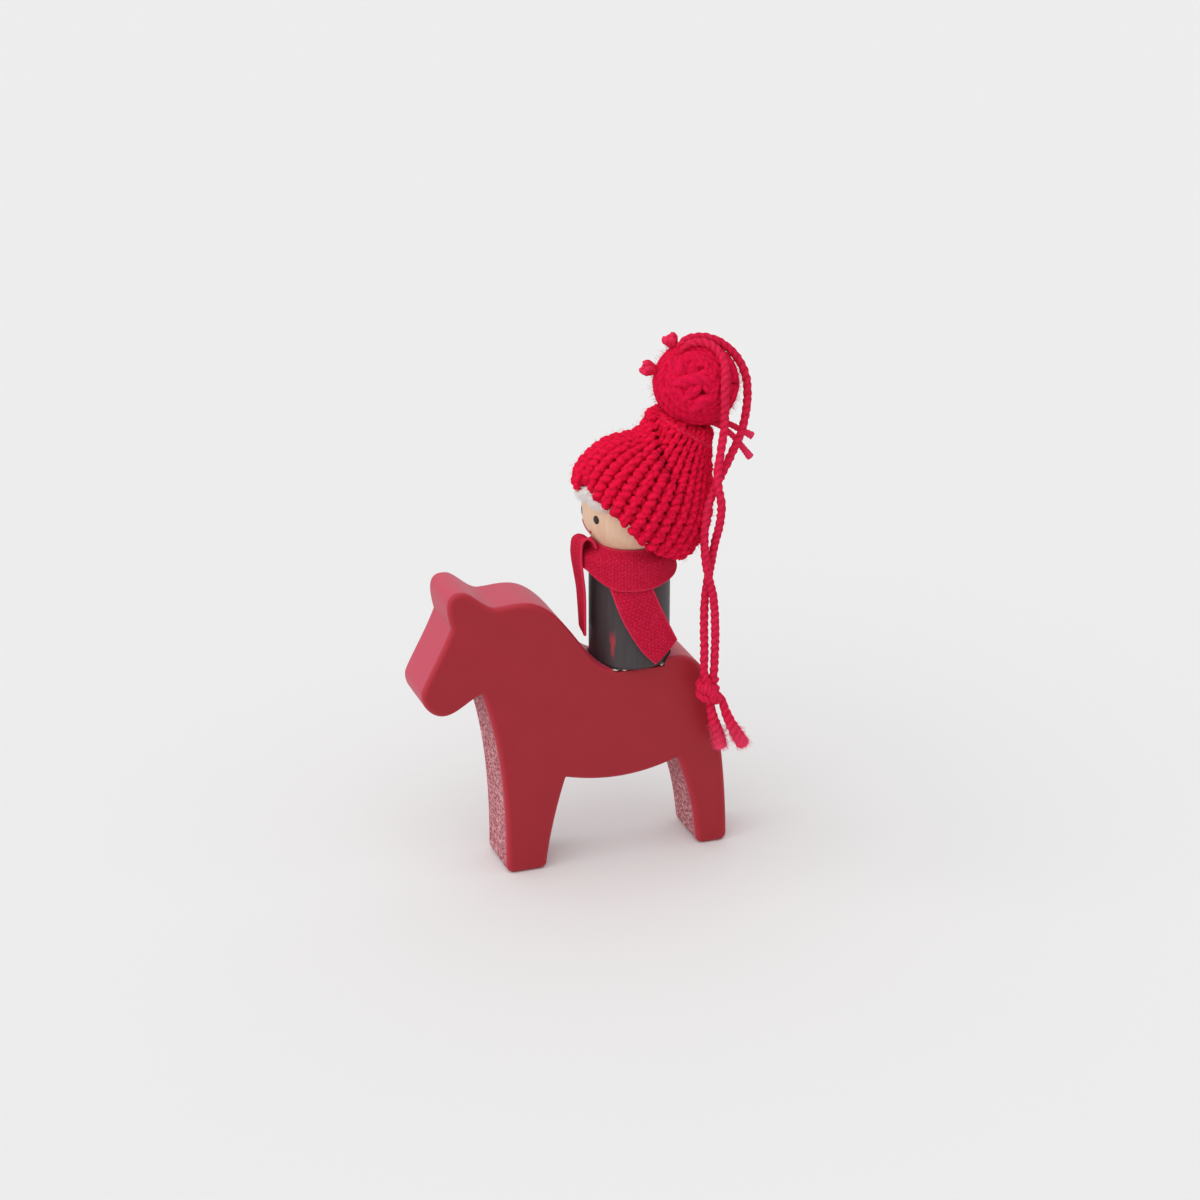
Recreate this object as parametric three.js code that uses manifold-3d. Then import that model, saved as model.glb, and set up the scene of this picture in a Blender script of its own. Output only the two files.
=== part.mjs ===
// A wooden gnome rider glued on the back of a red horse sawn from board. It stands on its feet,
// or hangs from a yarn loop that comes out of the pompom on the gnome's knitted cap.
// Millimetres, +Z up. The horse looks along -X and shows its face at -Y. The origin is on the
// ground under the middle of the whole object.
import * as THREE from 'three';
import { mergeVertices } from 'three/addons/utils/BufferGeometryUtils.js';
import Module from 'manifold-3d';

const wasm = await Module();
wasm.setup();

// Gap kept between two pieces that are glued together or lie on each other
const GAP = 0.3;

// Horse board
const BOARD_THICKNESS = 15;
const EDGE_ROUND = 1.2;
const FOOT_ROUND = 2;
const LEG_HEIGHT = 20.2;
const BODY_DEPTH = 26.7;
const NECK_RISE = 18.9;
const EAR_RISE = 4.4;
const RUMP_RISE = 1.4;
const HORSE_LENGTH = 72.9;
const HIND_HEEL_X = 32.5;
const HIND_FOOT_LENGTH = 7.5;
const FORE_FOOT_LENGTH = 9.7;
// From the nose back to the poll and to the toe of the foreleg
const NOSE_TO_POLL = 17.4;
const NOSE_TO_TOE = 19.2;
// Points of the head and neck: how far in front of the poll, and how far below it
const NOSE_DROP = 18.1;
const CHIN_REACH = 12.3;
const CHIN_DROP = 24.5;
const THROAT_REACH = 3.6;
const THROAT_DROP = 20.4;
const EAR_BASE_REACH = 10.4;
const EAR_BASE_DROP = 3.7;
const EAR_TIP_REACH = 7.2;
const CREST_LENGTH = 7.5;
// Points of the back and belly, from the seat and from the feet
const WITHERS_REACH = 12.5;
const WITHERS_RISE = 5.3;
const SADDLE_REACH = 2.7;
const RUMP_REACH = 8.8;
const THIGH_INSET = 3.9;
const THIGH_DROP = 10.3;
const STIFLE_REACH = 5;
const STIFLE_RISE = 2.6;
const ELBOW_REACH = 4.6;
const ELBOW_RISE = 1.8;

// Rider: seat cut in the saddle, glue film, peg, dowel and ball head
const SEAT_X = 10.7;
const SEAT_DEPTH = 0.5;
const GLUE_FILM = 0.5;
const PEG_DIAMETER = 18.4;
const PEG_HEIGHT = 26.1;
const PEG_CHAMFER = 0.7;
const PEG_SHOULDER = 1.6;
const DOWEL_DIAMETER = 5;
const DOWEL_IN_PEG = 8;
const DOWEL_IN_HEAD = 7;
const DOWEL_CHAMFER = 0.6;
const HEAD_DIAMETER = 21.2;
const HEAD_FLAT = 0.65;

// Fleece fringe under the front of the cap
const FRINGE_THICKNESS = 1.2;
const FRINGE_DROP = 3.4;
const FRINGE_HALF_ANGLE = 60;

// Knitted cap, measured along its own axis from the middle of the head
const CAP_TILT = 36;
const CAP_BRIM_HEIGHT = -3.2;
const CAP_BRIM_WAVE = 1.2;
const CAP_HEIGHT = 22;
const CAP_BRIM_RADIUS = 16.2;
const CAP_BULGE = 1.2;
const CAP_BULGE_HEIGHT = 5.9;
const CAP_SHOULDER_RADIUS = 13;
const CAP_SHOULDER_HEIGHT = 12.1;
const CAP_NECK_RADIUS = 5.6;
const CAP_WALL = 2.4;
const CAP_SLACK = 2.2;
const CAP_RIBS = 34;
const CAP_RIB_DEPTH = 0.4;

// Tie strand, pompom and cut yarn ends
const TIE_YARN = 1.5;
const TIE_BELOW_TOP = 1.3;
const POMPOM_RADIUS = 9.5;
const POMPOM_LEAN = 2;
const POMPOM_LIFT = 0.5;
const POMPOM_STRANDS = 14;
const POMPOM_STRAND_DEPTH = 0.35;

// Scarf of woven tape: a wrap round the neck and two hanging tails
const TAPE_THICKNESS = 0.8;
const TAPE_WIDTH = 7;
const WRAP_TOP = 2.7;
const WRAP_HEIGHT = 5.2;
const WRAP_DIP = 5.6;
const WRAP_DIP_ANGLE = 1.41 * Math.PI;
const WRAP_LEAN = 0.9;
const WRAP_DIP_WIDTH = 0.62;
const FOLD_BULGE = 1.6;
const FOLD_RISE = 1;
const FOLD_WIDTH = 0.5;
const FRONT_TAIL_LENGTH = 17;
const FRONT_TAIL_TURN = 15;
const FRONT_TAIL_SHIFT = -2.4;
const FRONT_TAIL_DRIFT = 0.6;
const SIDE_TAIL_LENGTH = 16.2;
const SIDE_TAIL_SLANT = 30;
const SIDE_TAIL_SKEW = 1.5;
const SIDE_TAIL_BOW = 0.02;
const SIDE_TAIL_KICK = 0.5;

// Hanging loop of twisted yarn
const CORD_DIAMETER = 1.9;
const TAIL_DIAMETER = 2.4;
const KNOT_WIDTH = 5.8;
const KNOT_HEIGHT = 7;

const noseX = HIND_HEEL_X - HORSE_LENGTH;
const pollX = noseX + NOSE_TO_POLL;
const foreToeX = noseX + NOSE_TO_TOE;
const hindToeX = HIND_HEEL_X - HIND_FOOT_LENGTH;
const pegRadius = PEG_DIAMETER / 2;
const headRadius = HEAD_DIAMETER / 2;
const saddleZ = LEG_HEIGHT + BODY_DEPTH;
const seatZ = saddleZ - SEAT_DEPTH;
const pegBottom = GLUE_FILM;
const pegTop = pegBottom + PEG_HEIGHT;
const headZ = pegTop + headRadius - HEAD_FLAT;
const capTilt = THREE.MathUtils.degToRad(CAP_TILT);

function paint(color, roughness) {
  return new THREE.MeshStandardMaterial({ color, roughness, metalness: 0 });
}

// Shared vertices joined, slivers dropped and faces turned outwards
function closed(geometry) {
  const bare = geometry.clone();
  bare.deleteAttribute('normal');
  bare.deleteAttribute('uv');
  const merged = mergeVertices(bare, 1e-4);
  const index = merged.index.array;
  const kept = [];
  for (let i = 0; i < index.length; i += 3) {
    const [a, b, c] = [index[i], index[i + 1], index[i + 2]];
    if (a !== b && b !== c && c !== a) kept.push(a, b, c);
  }
  const corner = [0, 1, 2].map(() => new THREE.Vector3());
  let volume = 0;
  for (let i = 0; i < kept.length; i += 3) {
    corner.forEach((v, k) => v.fromBufferAttribute(merged.attributes.position, kept[i + k]));
    volume += corner[0].dot(corner[1].cross(corner[2]));
  }
  merged.setIndex(volume < 0 ? kept.reverse() : kept);
  merged.computeVertexNormals();
  return merged;
}

function solidOf(geometry) {
  const body = closed(geometry);
  return new wasm.Manifold(new wasm.Mesh({
    numProp: 3,
    vertProperties: body.attributes.position.array,
    triVerts: Uint32Array.from(body.index.array),
  }));
}

function geometryOf(solid) {
  const mesh = solid.getMesh();
  const geometry = new THREE.BufferGeometry();
  geometry.setAttribute('position', new THREE.BufferAttribute(mesh.vertProperties, 3));
  geometry.setIndex(new THREE.BufferAttribute(mesh.triVerts, 1));
  geometry.computeVertexNormals();
  return geometry;
}

function piece(name, geometry, material) {
  const mesh = new THREE.Mesh(closed(geometry), material);
  mesh.name = name;
  return mesh;
}

// Turned round +Z from a profile of [radius, height] points
function turned(profile, segments = 36) {
  const points = profile.map(([radius, height]) => new THREE.Vector2(radius, height));
  return new THREE.LatheGeometry(points, segments).rotateX(Math.PI / 2);
}

// Closed solid from triangles between point lists; rings run round, the two ends close with fans
function loft(rings) {
  const count = rings[0].length;
  const points = rings.flat();
  const triangles = [];
  for (let k = 0; k + 1 < rings.length; k += 1) {
    for (let i = 0; i < count; i += 1) {
      const next = (i + 1) % count;
      const [a, b] = [k * count + i, k * count + next];
      triangles.push(a, b, b + count, a, b + count, a + count);
    }
  }
  const last = (rings.length - 1) * count;
  const middle = (ring) => {
    const sum = new THREE.Vector3();
    ring.forEach((p) => sum.add(p));
    return sum.divideScalar(count);
  };
  points.push(middle(rings[0]), middle(rings[rings.length - 1]));
  for (let i = 0; i < count; i += 1) {
    const next = (i + 1) % count;
    triangles.push(points.length - 2, next, i, points.length - 1, last + i, last + next);
  }
  return new THREE.BufferGeometry().setFromPoints(points).setIndex(triangles);
}

// Sheet with a thickness: outer and inner are functions of two shares from 0 to 1, along and across
function sheet(outer, inner, along, across, goesRound) {
  const rings = [];
  for (let i = 0; i <= along; i += 1) {
    const ring = [];
    for (let j = 0; j <= across; j += 1) ring.push(outer(i / along, j / across));
    for (let j = across; j >= 0; j -= 1) ring.push(inner(i / along, j / across));
    rings.push(ring);
  }
  if (!goesRound) return loft(rings);
  const open = loft(rings);
  const ends = 6 * rings[0].length;
  return open.setIndex(Array.from(open.index.array).slice(0, -ends));
}

// Round yarn along points in millimetres, cut square at both ends
function yarn(points, diameter, steps, sides = 8) {
  const path = new THREE.CatmullRomCurve3(points.map((p) => new THREE.Vector3(...p)), false, 'centripetal');
  const section = new THREE.Shape().absarc(0, 0, diameter / 2, 0, 2 * Math.PI);
  const options = { steps, curveSegments: sides / 2, bevelEnabled: false, extrudePath: path };
  return new THREE.ExtrudeGeometry(section, options);
}

// Outline of the horse in (x, z), from the toe of the foreleg up the chest and round to the start
function horseOutline() {
  const foreHeelX = foreToeX + FORE_FOOT_LENGTH;
  const pollZ = saddleZ + NECK_RISE;
  const rumpZ = saddleZ + RUMP_RISE;
  const throat = [pollX - THROAT_REACH, pollZ - THROAT_DROP];
  const chin = [pollX - CHIN_REACH, pollZ - CHIN_DROP];
  const nose = [noseX, pollZ - NOSE_DROP];
  const earBase = [pollX - EAR_BASE_REACH, pollZ - EAR_BASE_DROP];
  const earTip = [pollX - EAR_TIP_REACH, pollZ + EAR_RISE];
  const crest = [pollX + CREST_LENGTH, pollZ];
  const withers = [SEAT_X - WITHERS_REACH, saddleZ + WITHERS_RISE];
  const saddle = [SEAT_X - SADDLE_REACH, saddleZ];
  const rump = [SEAT_X + RUMP_REACH, rumpZ];
  const thigh = [HIND_HEEL_X - THIGH_INSET, rumpZ - THIGH_DROP];
  const stifle = [hindToeX - STIFLE_REACH, LEG_HEIGHT + STIFLE_RISE];
  const elbow = [foreHeelX + ELBOW_REACH, LEG_HEIGHT + ELBOW_RISE];
  const shape = new THREE.Shape();
  // Chest, jaw and nose; the numbers in each curve only bend it between its two points
  shape.moveTo(foreToeX, FOOT_ROUND);
  shape.bezierCurveTo(foreToeX + 0.2, LEG_HEIGHT, foreToeX - 1.4, throat[1] - 11.4, ...throat);
  shape.bezierCurveTo(throat[0] - 2.9, throat[1] - 1, chin[0] + 3, chin[1], ...chin);
  shape.bezierCurveTo(chin[0] - 2.9, chin[1], nose[0] - 0.5, nose[1] - 3.1, ...nose);
  // Forehead, ear, mane and neck
  shape.bezierCurveTo(nose[0] + 1, nose[1] + 2.9, earBase[0] - 2.2, earBase[1] - 5.6, ...earBase);
  shape.bezierCurveTo(earBase[0] - 0.9, earBase[1] + 3.9, earTip[0] - 5.2, earTip[1] + 1, ...earTip);
  shape.bezierCurveTo(earTip[0] + 2.4, earTip[1] - 0.8, pollX - 2.6, pollZ + 0.1, pollX, pollZ);
  shape.bezierCurveTo(pollX + 3.2, pollZ, crest[0] - 3.1, crest[1] + 0.5, ...crest);
  shape.bezierCurveTo(crest[0] + 5, crest[1] - 1, withers[0] - 5, withers[1] + 7.4, ...withers);
  // Saddle, rump and hind leg
  shape.bezierCurveTo(withers[0] + 2.2, withers[1] - 3.3, saddle[0] - 5.4, saddleZ, ...saddle);
  shape.bezierCurveTo(saddle[0] + 4.5, saddleZ, rump[0] - 4, rumpZ, ...rump);
  shape.bezierCurveTo(rump[0] + 4.7, rumpZ, thigh[0] - 1.6, thigh[1] + 6.5, ...thigh);
  shape.bezierCurveTo(thigh[0] + 1.8, thigh[1] - 7.5, HIND_HEEL_X - 0.3, 16, HIND_HEEL_X, FOOT_ROUND);
  shape.quadraticCurveTo(HIND_HEEL_X, 0, HIND_HEEL_X - FOOT_ROUND, 0);
  shape.lineTo(hindToeX + FOOT_ROUND, 0);
  shape.quadraticCurveTo(hindToeX, 0, hindToeX, FOOT_ROUND);
  // Belly and back of the foreleg
  shape.bezierCurveTo(hindToeX - 0.7, 8, hindToeX - 1.4, LEG_HEIGHT - 6.2, ...stifle);
  shape.bezierCurveTo(stifle[0] - 7.5, LEG_HEIGHT, elbow[0] + 10.9, LEG_HEIGHT - 1.2, ...elbow);
  shape.bezierCurveTo(elbow[0] - 1.7, elbow[1] - 5.5, foreHeelX + 1.1, LEG_HEIGHT / 2, foreHeelX, FOOT_ROUND);
  shape.quadraticCurveTo(foreHeelX, 0, foreHeelX - FOOT_ROUND, 0);
  shape.lineTo(foreToeX + FOOT_ROUND, 0);
  shape.quadraticCurveTo(foreToeX, 0, foreToeX, FOOT_ROUND);
  return shape;
}

function horseBoard() {
  const depth = BOARD_THICKNESS - 2 * EDGE_ROUND;
  const board = new THREE.ExtrudeGeometry(horseOutline(), {
    depth,
    curveSegments: 7,
    bevelThickness: EDGE_ROUND,
    bevelSize: EDGE_ROUND,
    bevelOffset: -EDGE_ROUND,
    bevelSegments: 2,
  });
  board.translate(0, 0, -depth / 2).rotateX(Math.PI / 2);
  const seatRadius = pegRadius + GAP;
  const cutHeight = PEG_HEIGHT;
  const cut = new THREE.CylinderGeometry(seatRadius, seatRadius, cutHeight, 48).rotateX(Math.PI / 2);
  cut.translate(SEAT_X, 0, seatZ + cutHeight / 2);
  return piece('horse_board', geometryOf(solidOf(board).subtract(solidOf(cut))), paint(0x93303a, 0.45));
}

// Film of glue in the seat, as wide as the flat of the board
function seatGlue() {
  const radius = pegRadius - GAP;
  const reach = Math.asin((BOARD_THICKNESS / 2 - EDGE_ROUND) / radius);
  const film = new THREE.Shape();
  film.absarc(0, 0, radius, -reach, reach);
  film.absarc(0, 0, radius, Math.PI - reach, Math.PI + reach);
  const clear = GLUE_FILM / 10;
  const geometry = new THREE.ExtrudeGeometry(film, {
    depth: GLUE_FILM - 2 * clear,
    curveSegments: 12,
    bevelEnabled: false,
  });
  return piece('seat_glue', geometry.translate(0, 0, clear), paint(0xd8d0c4, 0.2));
}

function riderPeg() {
  const bore = DOWEL_DIAMETER / 2 + GAP;
  const profile = [
    [0, pegBottom],
    [pegRadius - PEG_CHAMFER, pegBottom],
    [pegRadius, pegBottom + PEG_CHAMFER],
  ];
  for (let i = 0; i <= 4; i += 1) {
    const angle = (i / 4) * Math.PI / 2;
    const inset = PEG_SHOULDER * (1 - Math.cos(angle));
    profile.push([pegRadius - inset, pegTop - PEG_SHOULDER * (1 - Math.sin(angle))]);
  }
  profile.push([bore, pegTop], [bore, pegTop - DOWEL_IN_PEG - GAP], [0, pegTop - DOWEL_IN_PEG - GAP]);
  return piece('rider_peg', turned(profile), paint(0x3a3334, 0.6));
}

function neckDowel() {
  const radius = DOWEL_DIAMETER / 2;
  const bottom = pegTop - DOWEL_IN_PEG;
  const top = pegTop + DOWEL_IN_HEAD;
  const profile = [
    [0, bottom],
    [radius - DOWEL_CHAMFER, bottom],
    [radius, bottom + DOWEL_CHAMFER],
    [radius, top - DOWEL_CHAMFER],
    [radius - DOWEL_CHAMFER, top],
    [0, top],
  ];
  return piece('neck_dowel', turned(profile, 24), paint(0xd9b48f, 0.7));
}

// Ball head with a flat under it and a blind hole for the dowel, about its own middle
function headBall() {
  const bore = DOWEL_DIAMETER / 2 + GAP;
  const flatHeight = HEAD_FLAT - headRadius;
  const ceiling = flatHeight + DOWEL_IN_HEAD + GAP;
  const start = Math.asin(flatHeight / headRadius);
  const profile = [[0, ceiling], [bore, ceiling], [bore, flatHeight]];
  const rows = 14;
  for (let i = 0; i <= rows; i += 1) {
    const angle = start + (i / rows) * (Math.PI / 2 - start);
    const radius = i === rows ? 0 : headRadius * Math.cos(angle);
    profile.push([radius, headRadius * Math.sin(angle)]);
  }
  return piece('head_ball', turned(profile), paint(0xd6ae90, 0.55));
}

// Height of the brim along the cap's axis; angle 0 is the back of the cap and pi the front
function brimHeight(angle) {
  return CAP_BRIM_HEIGHT - CAP_BRIM_WAVE * Math.cos(angle);
}

// Radius, height and backward slack of the cap at a share of its height, brim 0 to gather 1
function capProfile(share) {
  const curve = new THREE.CubicBezierCurve(
    new THREE.Vector2(CAP_BRIM_RADIUS, CAP_BRIM_HEIGHT),
    new THREE.Vector2(CAP_BRIM_RADIUS + CAP_BULGE, CAP_BULGE_HEIGHT),
    new THREE.Vector2(CAP_SHOULDER_RADIUS, CAP_SHOULDER_HEIGHT),
    new THREE.Vector2(CAP_NECK_RADIUS, CAP_HEIGHT),
  );
  const point = curve.getPoint(share);
  return { radius: point.x, height: point.y, slack: CAP_SLACK * (1 - 0.7 * share) };
}

function capRing(share, points, inset, shift, lower, ribbed) {
  const { radius, height, slack } = capProfile(share);
  const ring = [];
  for (let i = 0; i < points; i += 1) {
    const angle = (i / points) * 2 * Math.PI;
    const rib = ribbed ? CAP_RIB_DEPTH * Math.cos(CAP_RIBS * angle) * (radius / CAP_BRIM_RADIUS) : 0;
    const reach = radius - inset + rib;
    const brim = (brimHeight(angle) - CAP_BRIM_HEIGHT) * (1 - share) ** 2;
    const x = slack + shift + reach * Math.cos(angle);
    ring.push(new THREE.Vector3(x, reach * Math.sin(angle), height + brim - lower));
  }
  return ring;
}

// Knitted shell over the head, in the cap's frame: +Z along its axis, +X to its back
function knitCap(pompomCentre) {
  const rows = 10;
  const hollowRows = 8;
  const hollowPoints = 32;
  const hollowFrom = 0.02;
  const hollowTo = 0.86;
  const outer = [];
  for (let i = 0; i <= rows; i += 1) outer.push(capRing(i / rows, 2 * CAP_RIBS, 0, 0, 0, true));
  // The front of the hollow lies on the head, so the wall there is thicker than at the back
  const pad = (CAP_BRIM_RADIUS - CAP_WALL - CAP_SLACK - headRadius - GAP) / 2;
  const inner = [capRing(0, hollowPoints, CAP_WALL + pad, pad, 2 * CAP_BRIM_WAVE, false)];
  for (let i = 0; i <= hollowRows; i += 1) {
    const share = hollowFrom + (i / hollowRows) * (hollowTo - hollowFrom);
    inner.push(capRing(share, hollowPoints, CAP_WALL + pad, pad, 0, false));
  }
  const head = new THREE.SphereGeometry(headRadius + GAP, 32, 18);
  const nest = new THREE.SphereGeometry(POMPOM_RADIUS + POMPOM_STRAND_DEPTH + GAP, 32, 18);
  nest.translate(pompomCentre.x, pompomCentre.y, pompomCentre.z);
  const hollow = solidOf(loft(inner)).add(solidOf(head)).add(solidOf(nest));
  return piece('knit_cap', geometryOf(solidOf(loft(outer)).subtract(hollow)), paint(0xc2132f, 0.9));
}

// Strand drawn tight round the gathered top of the cap
function capTie() {
  const share = 1 - TIE_BELOW_TOP / (CAP_HEIGHT - CAP_BRIM_HEIGHT);
  const low = capProfile(share - 0.05);
  const here = capProfile(share);
  const slope = Math.atan2(low.radius - here.radius, here.height - low.height);
  const radius = here.radius + CAP_RIB_DEPTH + (TIE_YARN / 2 + GAP) / Math.cos(slope);
  const ring = new THREE.TorusGeometry(radius, TIE_YARN / 2, 6, 30);
  return piece('cap_tie', ring.translate(here.slack, 0, here.height), paint(0xd23a55, 0.9));
}

// Fleece fringe that hugs the front of the head just under the brim, in the cap's frame
function hairFringe() {
  const halfAngle = THREE.MathUtils.degToRad(FRINGE_HALF_ANGLE);
  const onHead = (lift) => (along, across) => {
    const turn = (2 * along - 1) * halfAngle;
    const angle = Math.PI + turn;
    const drop = FRINGE_DROP * (0.3 + 0.7 * Math.cos(turn * (Math.PI / 2) / halfAngle));
    const height = brimHeight(angle) - GAP - drop * across;
    const radius = headRadius + GAP + lift * (1 - 0.6 * across);
    const reach = Math.sqrt(radius ** 2 - height ** 2);
    return new THREE.Vector3(reach * Math.cos(angle), reach * Math.sin(angle), height);
  };
  const geometry = sheet(onHead(FRINGE_THICKNESS), onHead(0), 20, 4, false);
  return piece('hair_fringe', geometry, paint(0xe9e4df, 0.95));
}

// Ball of yarn wound in rings side by side, with the axis of the rings across the board
function pompom() {
  const rows = 2 * POMPOM_STRANDS;
  const profile = [];
  for (let i = 0; i <= rows; i += 1) {
    const angle = (i / rows - 0.5) * Math.PI;
    const strand = POMPOM_STRAND_DEPTH * Math.cos(2 * POMPOM_STRANDS * angle) * Math.cos(angle);
    const reach = (POMPOM_RADIUS + strand) * Math.cos(angle);
    profile.push(new THREE.Vector2(i % rows === 0 ? 0 : reach, POMPOM_RADIUS * Math.sin(angle)));
  }
  return piece('pompom', new THREE.LatheGeometry(profile, 40), paint(0xd01038, 0.9));
}

// Cut yarn ends round the pompom, from its middle: two fat tufts, a short one and the tie's two ends
function yarnEnds() {
  const tuft = (x, y, z, from, to) => {
    const out = new THREE.Vector3(x, y, z).normalize();
    return [from, (from + to) / 2, to].map((reach) => out.clone().multiplyScalar(reach).toArray());
  };
  const root = POMPOM_RADIUS + POMPOM_STRAND_DEPTH + GAP;
  const ends = [
    { diameter: 2.6, points: tuft(-11.7, 2.5, 4.3, root, root + 3) },
    { diameter: 2.6, points: tuft(-5.2, 2.9, 9.9, root, root + 2.6) },
    { diameter: 1.6, points: tuft(7.3, 4, 8, root, root + 1.5) },
    { diameter: 1.3, points: [[4.6, 1.4, -9.1], [8.6, 1.3, -11], [12, 0.8, -13], [14, 0.5, -14.2]] },
    { diameter: 1.3, points: [[4.3, -1.3, -9.2], [8.2, -1, -12.6], [11.2, -0.5, -16.2], [13.3, 0, -18.9]] },
  ];
  const material = paint(0xc81638, 0.9);
  return ends.map((end, i) => piece(`yarn_end_${i + 1}`, yarn(end.points, end.diameter, 6), material));
}

// Smooth hump of height 1 at one angle round the peg, which closes on itself after a full turn
function hump(angle, middle, width) {
  return Math.exp(-((2 * Math.sin((angle - middle) / 2) / width) ** 2));
}

// Outer face of the wrap at an angle round the peg; angle 0 is the back, pi the front, -pi/2 the near side
function wrapRadius(angle) {
  const near = (0.5 - 0.5 * Math.sin(angle)) ** 2;
  const front = hump(angle, Math.PI, FOLD_WIDTH);
  return pegRadius + GAP + TAPE_THICKNESS * (1 + WRAP_LEAN * near) + FOLD_BULGE * front;
}

// Lower edge of the wrap, which dips where the side tail comes out of it
function wrapBottom(angle) {
  const dip = hump(angle, WRAP_DIP_ANGLE, WRAP_DIP_WIDTH);
  return pegTop + WRAP_TOP - WRAP_HEIGHT - WRAP_DIP * dip;
}

function scarfWrap() {
  const face = (radiusAt) => (along, across) => {
    const angle = along * 2 * Math.PI;
    const top = pegTop + WRAP_TOP + FOLD_RISE * hump(angle, Math.PI, FOLD_WIDTH);
    const height = top + (wrapBottom(angle) - top) * across;
    const lean = WRAP_LEAN * (1 - across) ** 2;
    const radius = radiusAt(angle) - lean * TAPE_THICKNESS;
    return new THREE.Vector3(radius * Math.cos(angle), radius * Math.sin(angle), height);
  };
  // The inner face lies on the peg, and leans in over its shoulder with the rest of the tape
  const inner = (along, across) => {
    const point = face(() => pegRadius + GAP + WRAP_LEAN * TAPE_THICKNESS)(along, across);
    const radius = point.z < pegTop ? pegRadius + GAP : Math.hypot(point.x, point.y);
    const angle = along * 2 * Math.PI;
    return new THREE.Vector3(radius * Math.cos(angle), radius * Math.sin(angle), point.z);
  };
  return piece('scarf_wrap', sheet(face(wrapRadius), inner, 44, 3, true), paint(0xb41c36, 0.85));
}

// Front tail: hangs from the fold under the chin, clear of the peg, with a round top to swing about
function scarfFrontTail() {
  const turn = THREE.MathUtils.degToRad(FRONT_TAIL_TURN);
  const top = wrapBottom(Math.PI) - GAP;
  const face = (thickness) => (along, across) => {
    const drift = FRONT_TAIL_DRIFT * along + FRONT_TAIL_DRIFT / 2 * Math.sin(2 * Math.PI * along);
    const side = (across - 0.5) * TAPE_WIDTH;
    const round = TAPE_WIDTH / 2 - Math.sqrt(Math.max(0, (TAPE_WIDTH / 2) ** 2 - side ** 2));
    const out = wrapRadius(Math.PI) - drift - thickness;
    const x = -out * Math.cos(turn) + side * Math.sin(turn);
    const y = out * Math.sin(turn) + side * Math.cos(turn) + FRONT_TAIL_SHIFT;
    return new THREE.Vector3(x, y, top - round - (FRONT_TAIL_LENGTH - round) * along);
  };
  return piece('scarf_front_tail', sheet(face(0), face(TAPE_THICKNESS), 10, 8, false), paint(0xb41c36, 0.85));
}

// Side tail: comes out under the dip of the wrap and slants down over the near side of the peg
function scarfSideTail() {
  const slant = THREE.MathUtils.degToRad(SIDE_TAIL_SLANT);
  const top = wrapBottom(WRAP_DIP_ANGLE) - GAP;
  const start = pegRadius * Math.cos(WRAP_DIP_ANGLE);
  const width = TAPE_WIDTH / Math.cos(slant);
  const face = (lift) => (along, across) => {
    const side = across - 0.5;
    const skew = SIDE_TAIL_SKEW * side * TAPE_WIDTH * Math.tan(slant) * along;
    const run = (SIDE_TAIL_LENGTH - skew) * along;
    const x = start + side * width + run * Math.sin(slant);
    const bow = SIDE_TAIL_BOW * x ** 2;
    const y = -(pegRadius + GAP + lift) + bow - SIDE_TAIL_KICK * along;
    return new THREE.Vector3(x, y, top - run * Math.cos(slant));
  };
  return piece('scarf_side_tail', sheet(face(TAPE_THICKNESS), face(0), 10, 6, false), paint(0xb41c36, 0.85));
}

// Two strands of the loop from the top of the pompom down to the knot, measured from the pompom's middle
const strandA = [
  [-2.3, 0.8, 10.6], [1.5, 0.6, 10.8], [5.5, 0, 9.5], [9, -0.9, 6.4], [10.7, -1.8, 3], [11.2, -2.6, 0],
  [11, -3.6, -3.2], [10.2, -4.8, -6.2], [9, -6.2, -9.2], [7.2, -7.6, -12], [5, -8.9, -14.9], [2.8, -10, -18],
  [0.3, -11.5, -21.2], [-2, -13.3, -25], [-2.9, -14.1, -29.2], [-2.8, -14, -34.6], [-1.8, -13.9, -40.8],
  [-0.1, -13.2, -46.2], [0.8, -12.6, -53.4], [0.9, -12.3, -60.4], [0.4, -12.3, -65.4],
];
const strandB = [
  [-2.3, -1.8, 10.5], [1, -2.8, 10.5], [3.4, -5.2, 8.9], [3.9, -8.1, 6.1], [3, -10.3, 3], [2.8, -10.8, -0.6],
  [3, -10.3, -4.2], [3, -9.9, -7.7], [2.5, -10.2, -11], [1.6, -11.2, -14.1], [0.6, -12.4, -17.1],
  [0.2, -14.1, -20.1], [0.7, -14.8, -23.7], [0.6, -14.3, -28], [0, -12.7, -33.9], [-0.7, -11.3, -41.5],
  [-1.6, -11, -46.8], [-2, -11.6, -53.3], [-2, -12.1, -59.7], [-1.9, -12.4, -65.4],
];
const knotCentre = [-1, -12.4, -69.2];
const tailA = [[-0.2, -12.2, -73.2], [0.7, -12, -76.9], [1.8, -11.8, -80.4], [2.7, -11.6, -83.9]];
const tailB = [[2, -12.6, -71.4], [3.4, -13.2, -75.4], [5.2, -13.5, -79.4], [7.5, -13.6, -83.3]];

function hangingLoop() {
  const red = paint(0xcd2540, 0.9);
  const knot = new THREE.SphereGeometry(1, 16, 12).scale(KNOT_WIDTH / 2, KNOT_WIDTH / 2.2, KNOT_HEIGHT / 2);
  return [
    piece('hang_cord_a', yarn(strandA, CORD_DIAMETER, 26), red),
    piece('hang_cord_b', yarn(strandB, CORD_DIAMETER, 26), red),
    piece('hang_knot', knot.translate(...knotCentre), red),
    piece('knot_tail_a', yarn(tailA, TAIL_DIAMETER, 6), red),
    piece('knot_tail_b', yarn(tailB, TAIL_DIAMETER, 6), red),
  ];
}

const figure = new THREE.Group();
figure.add(horseBoard());

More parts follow.
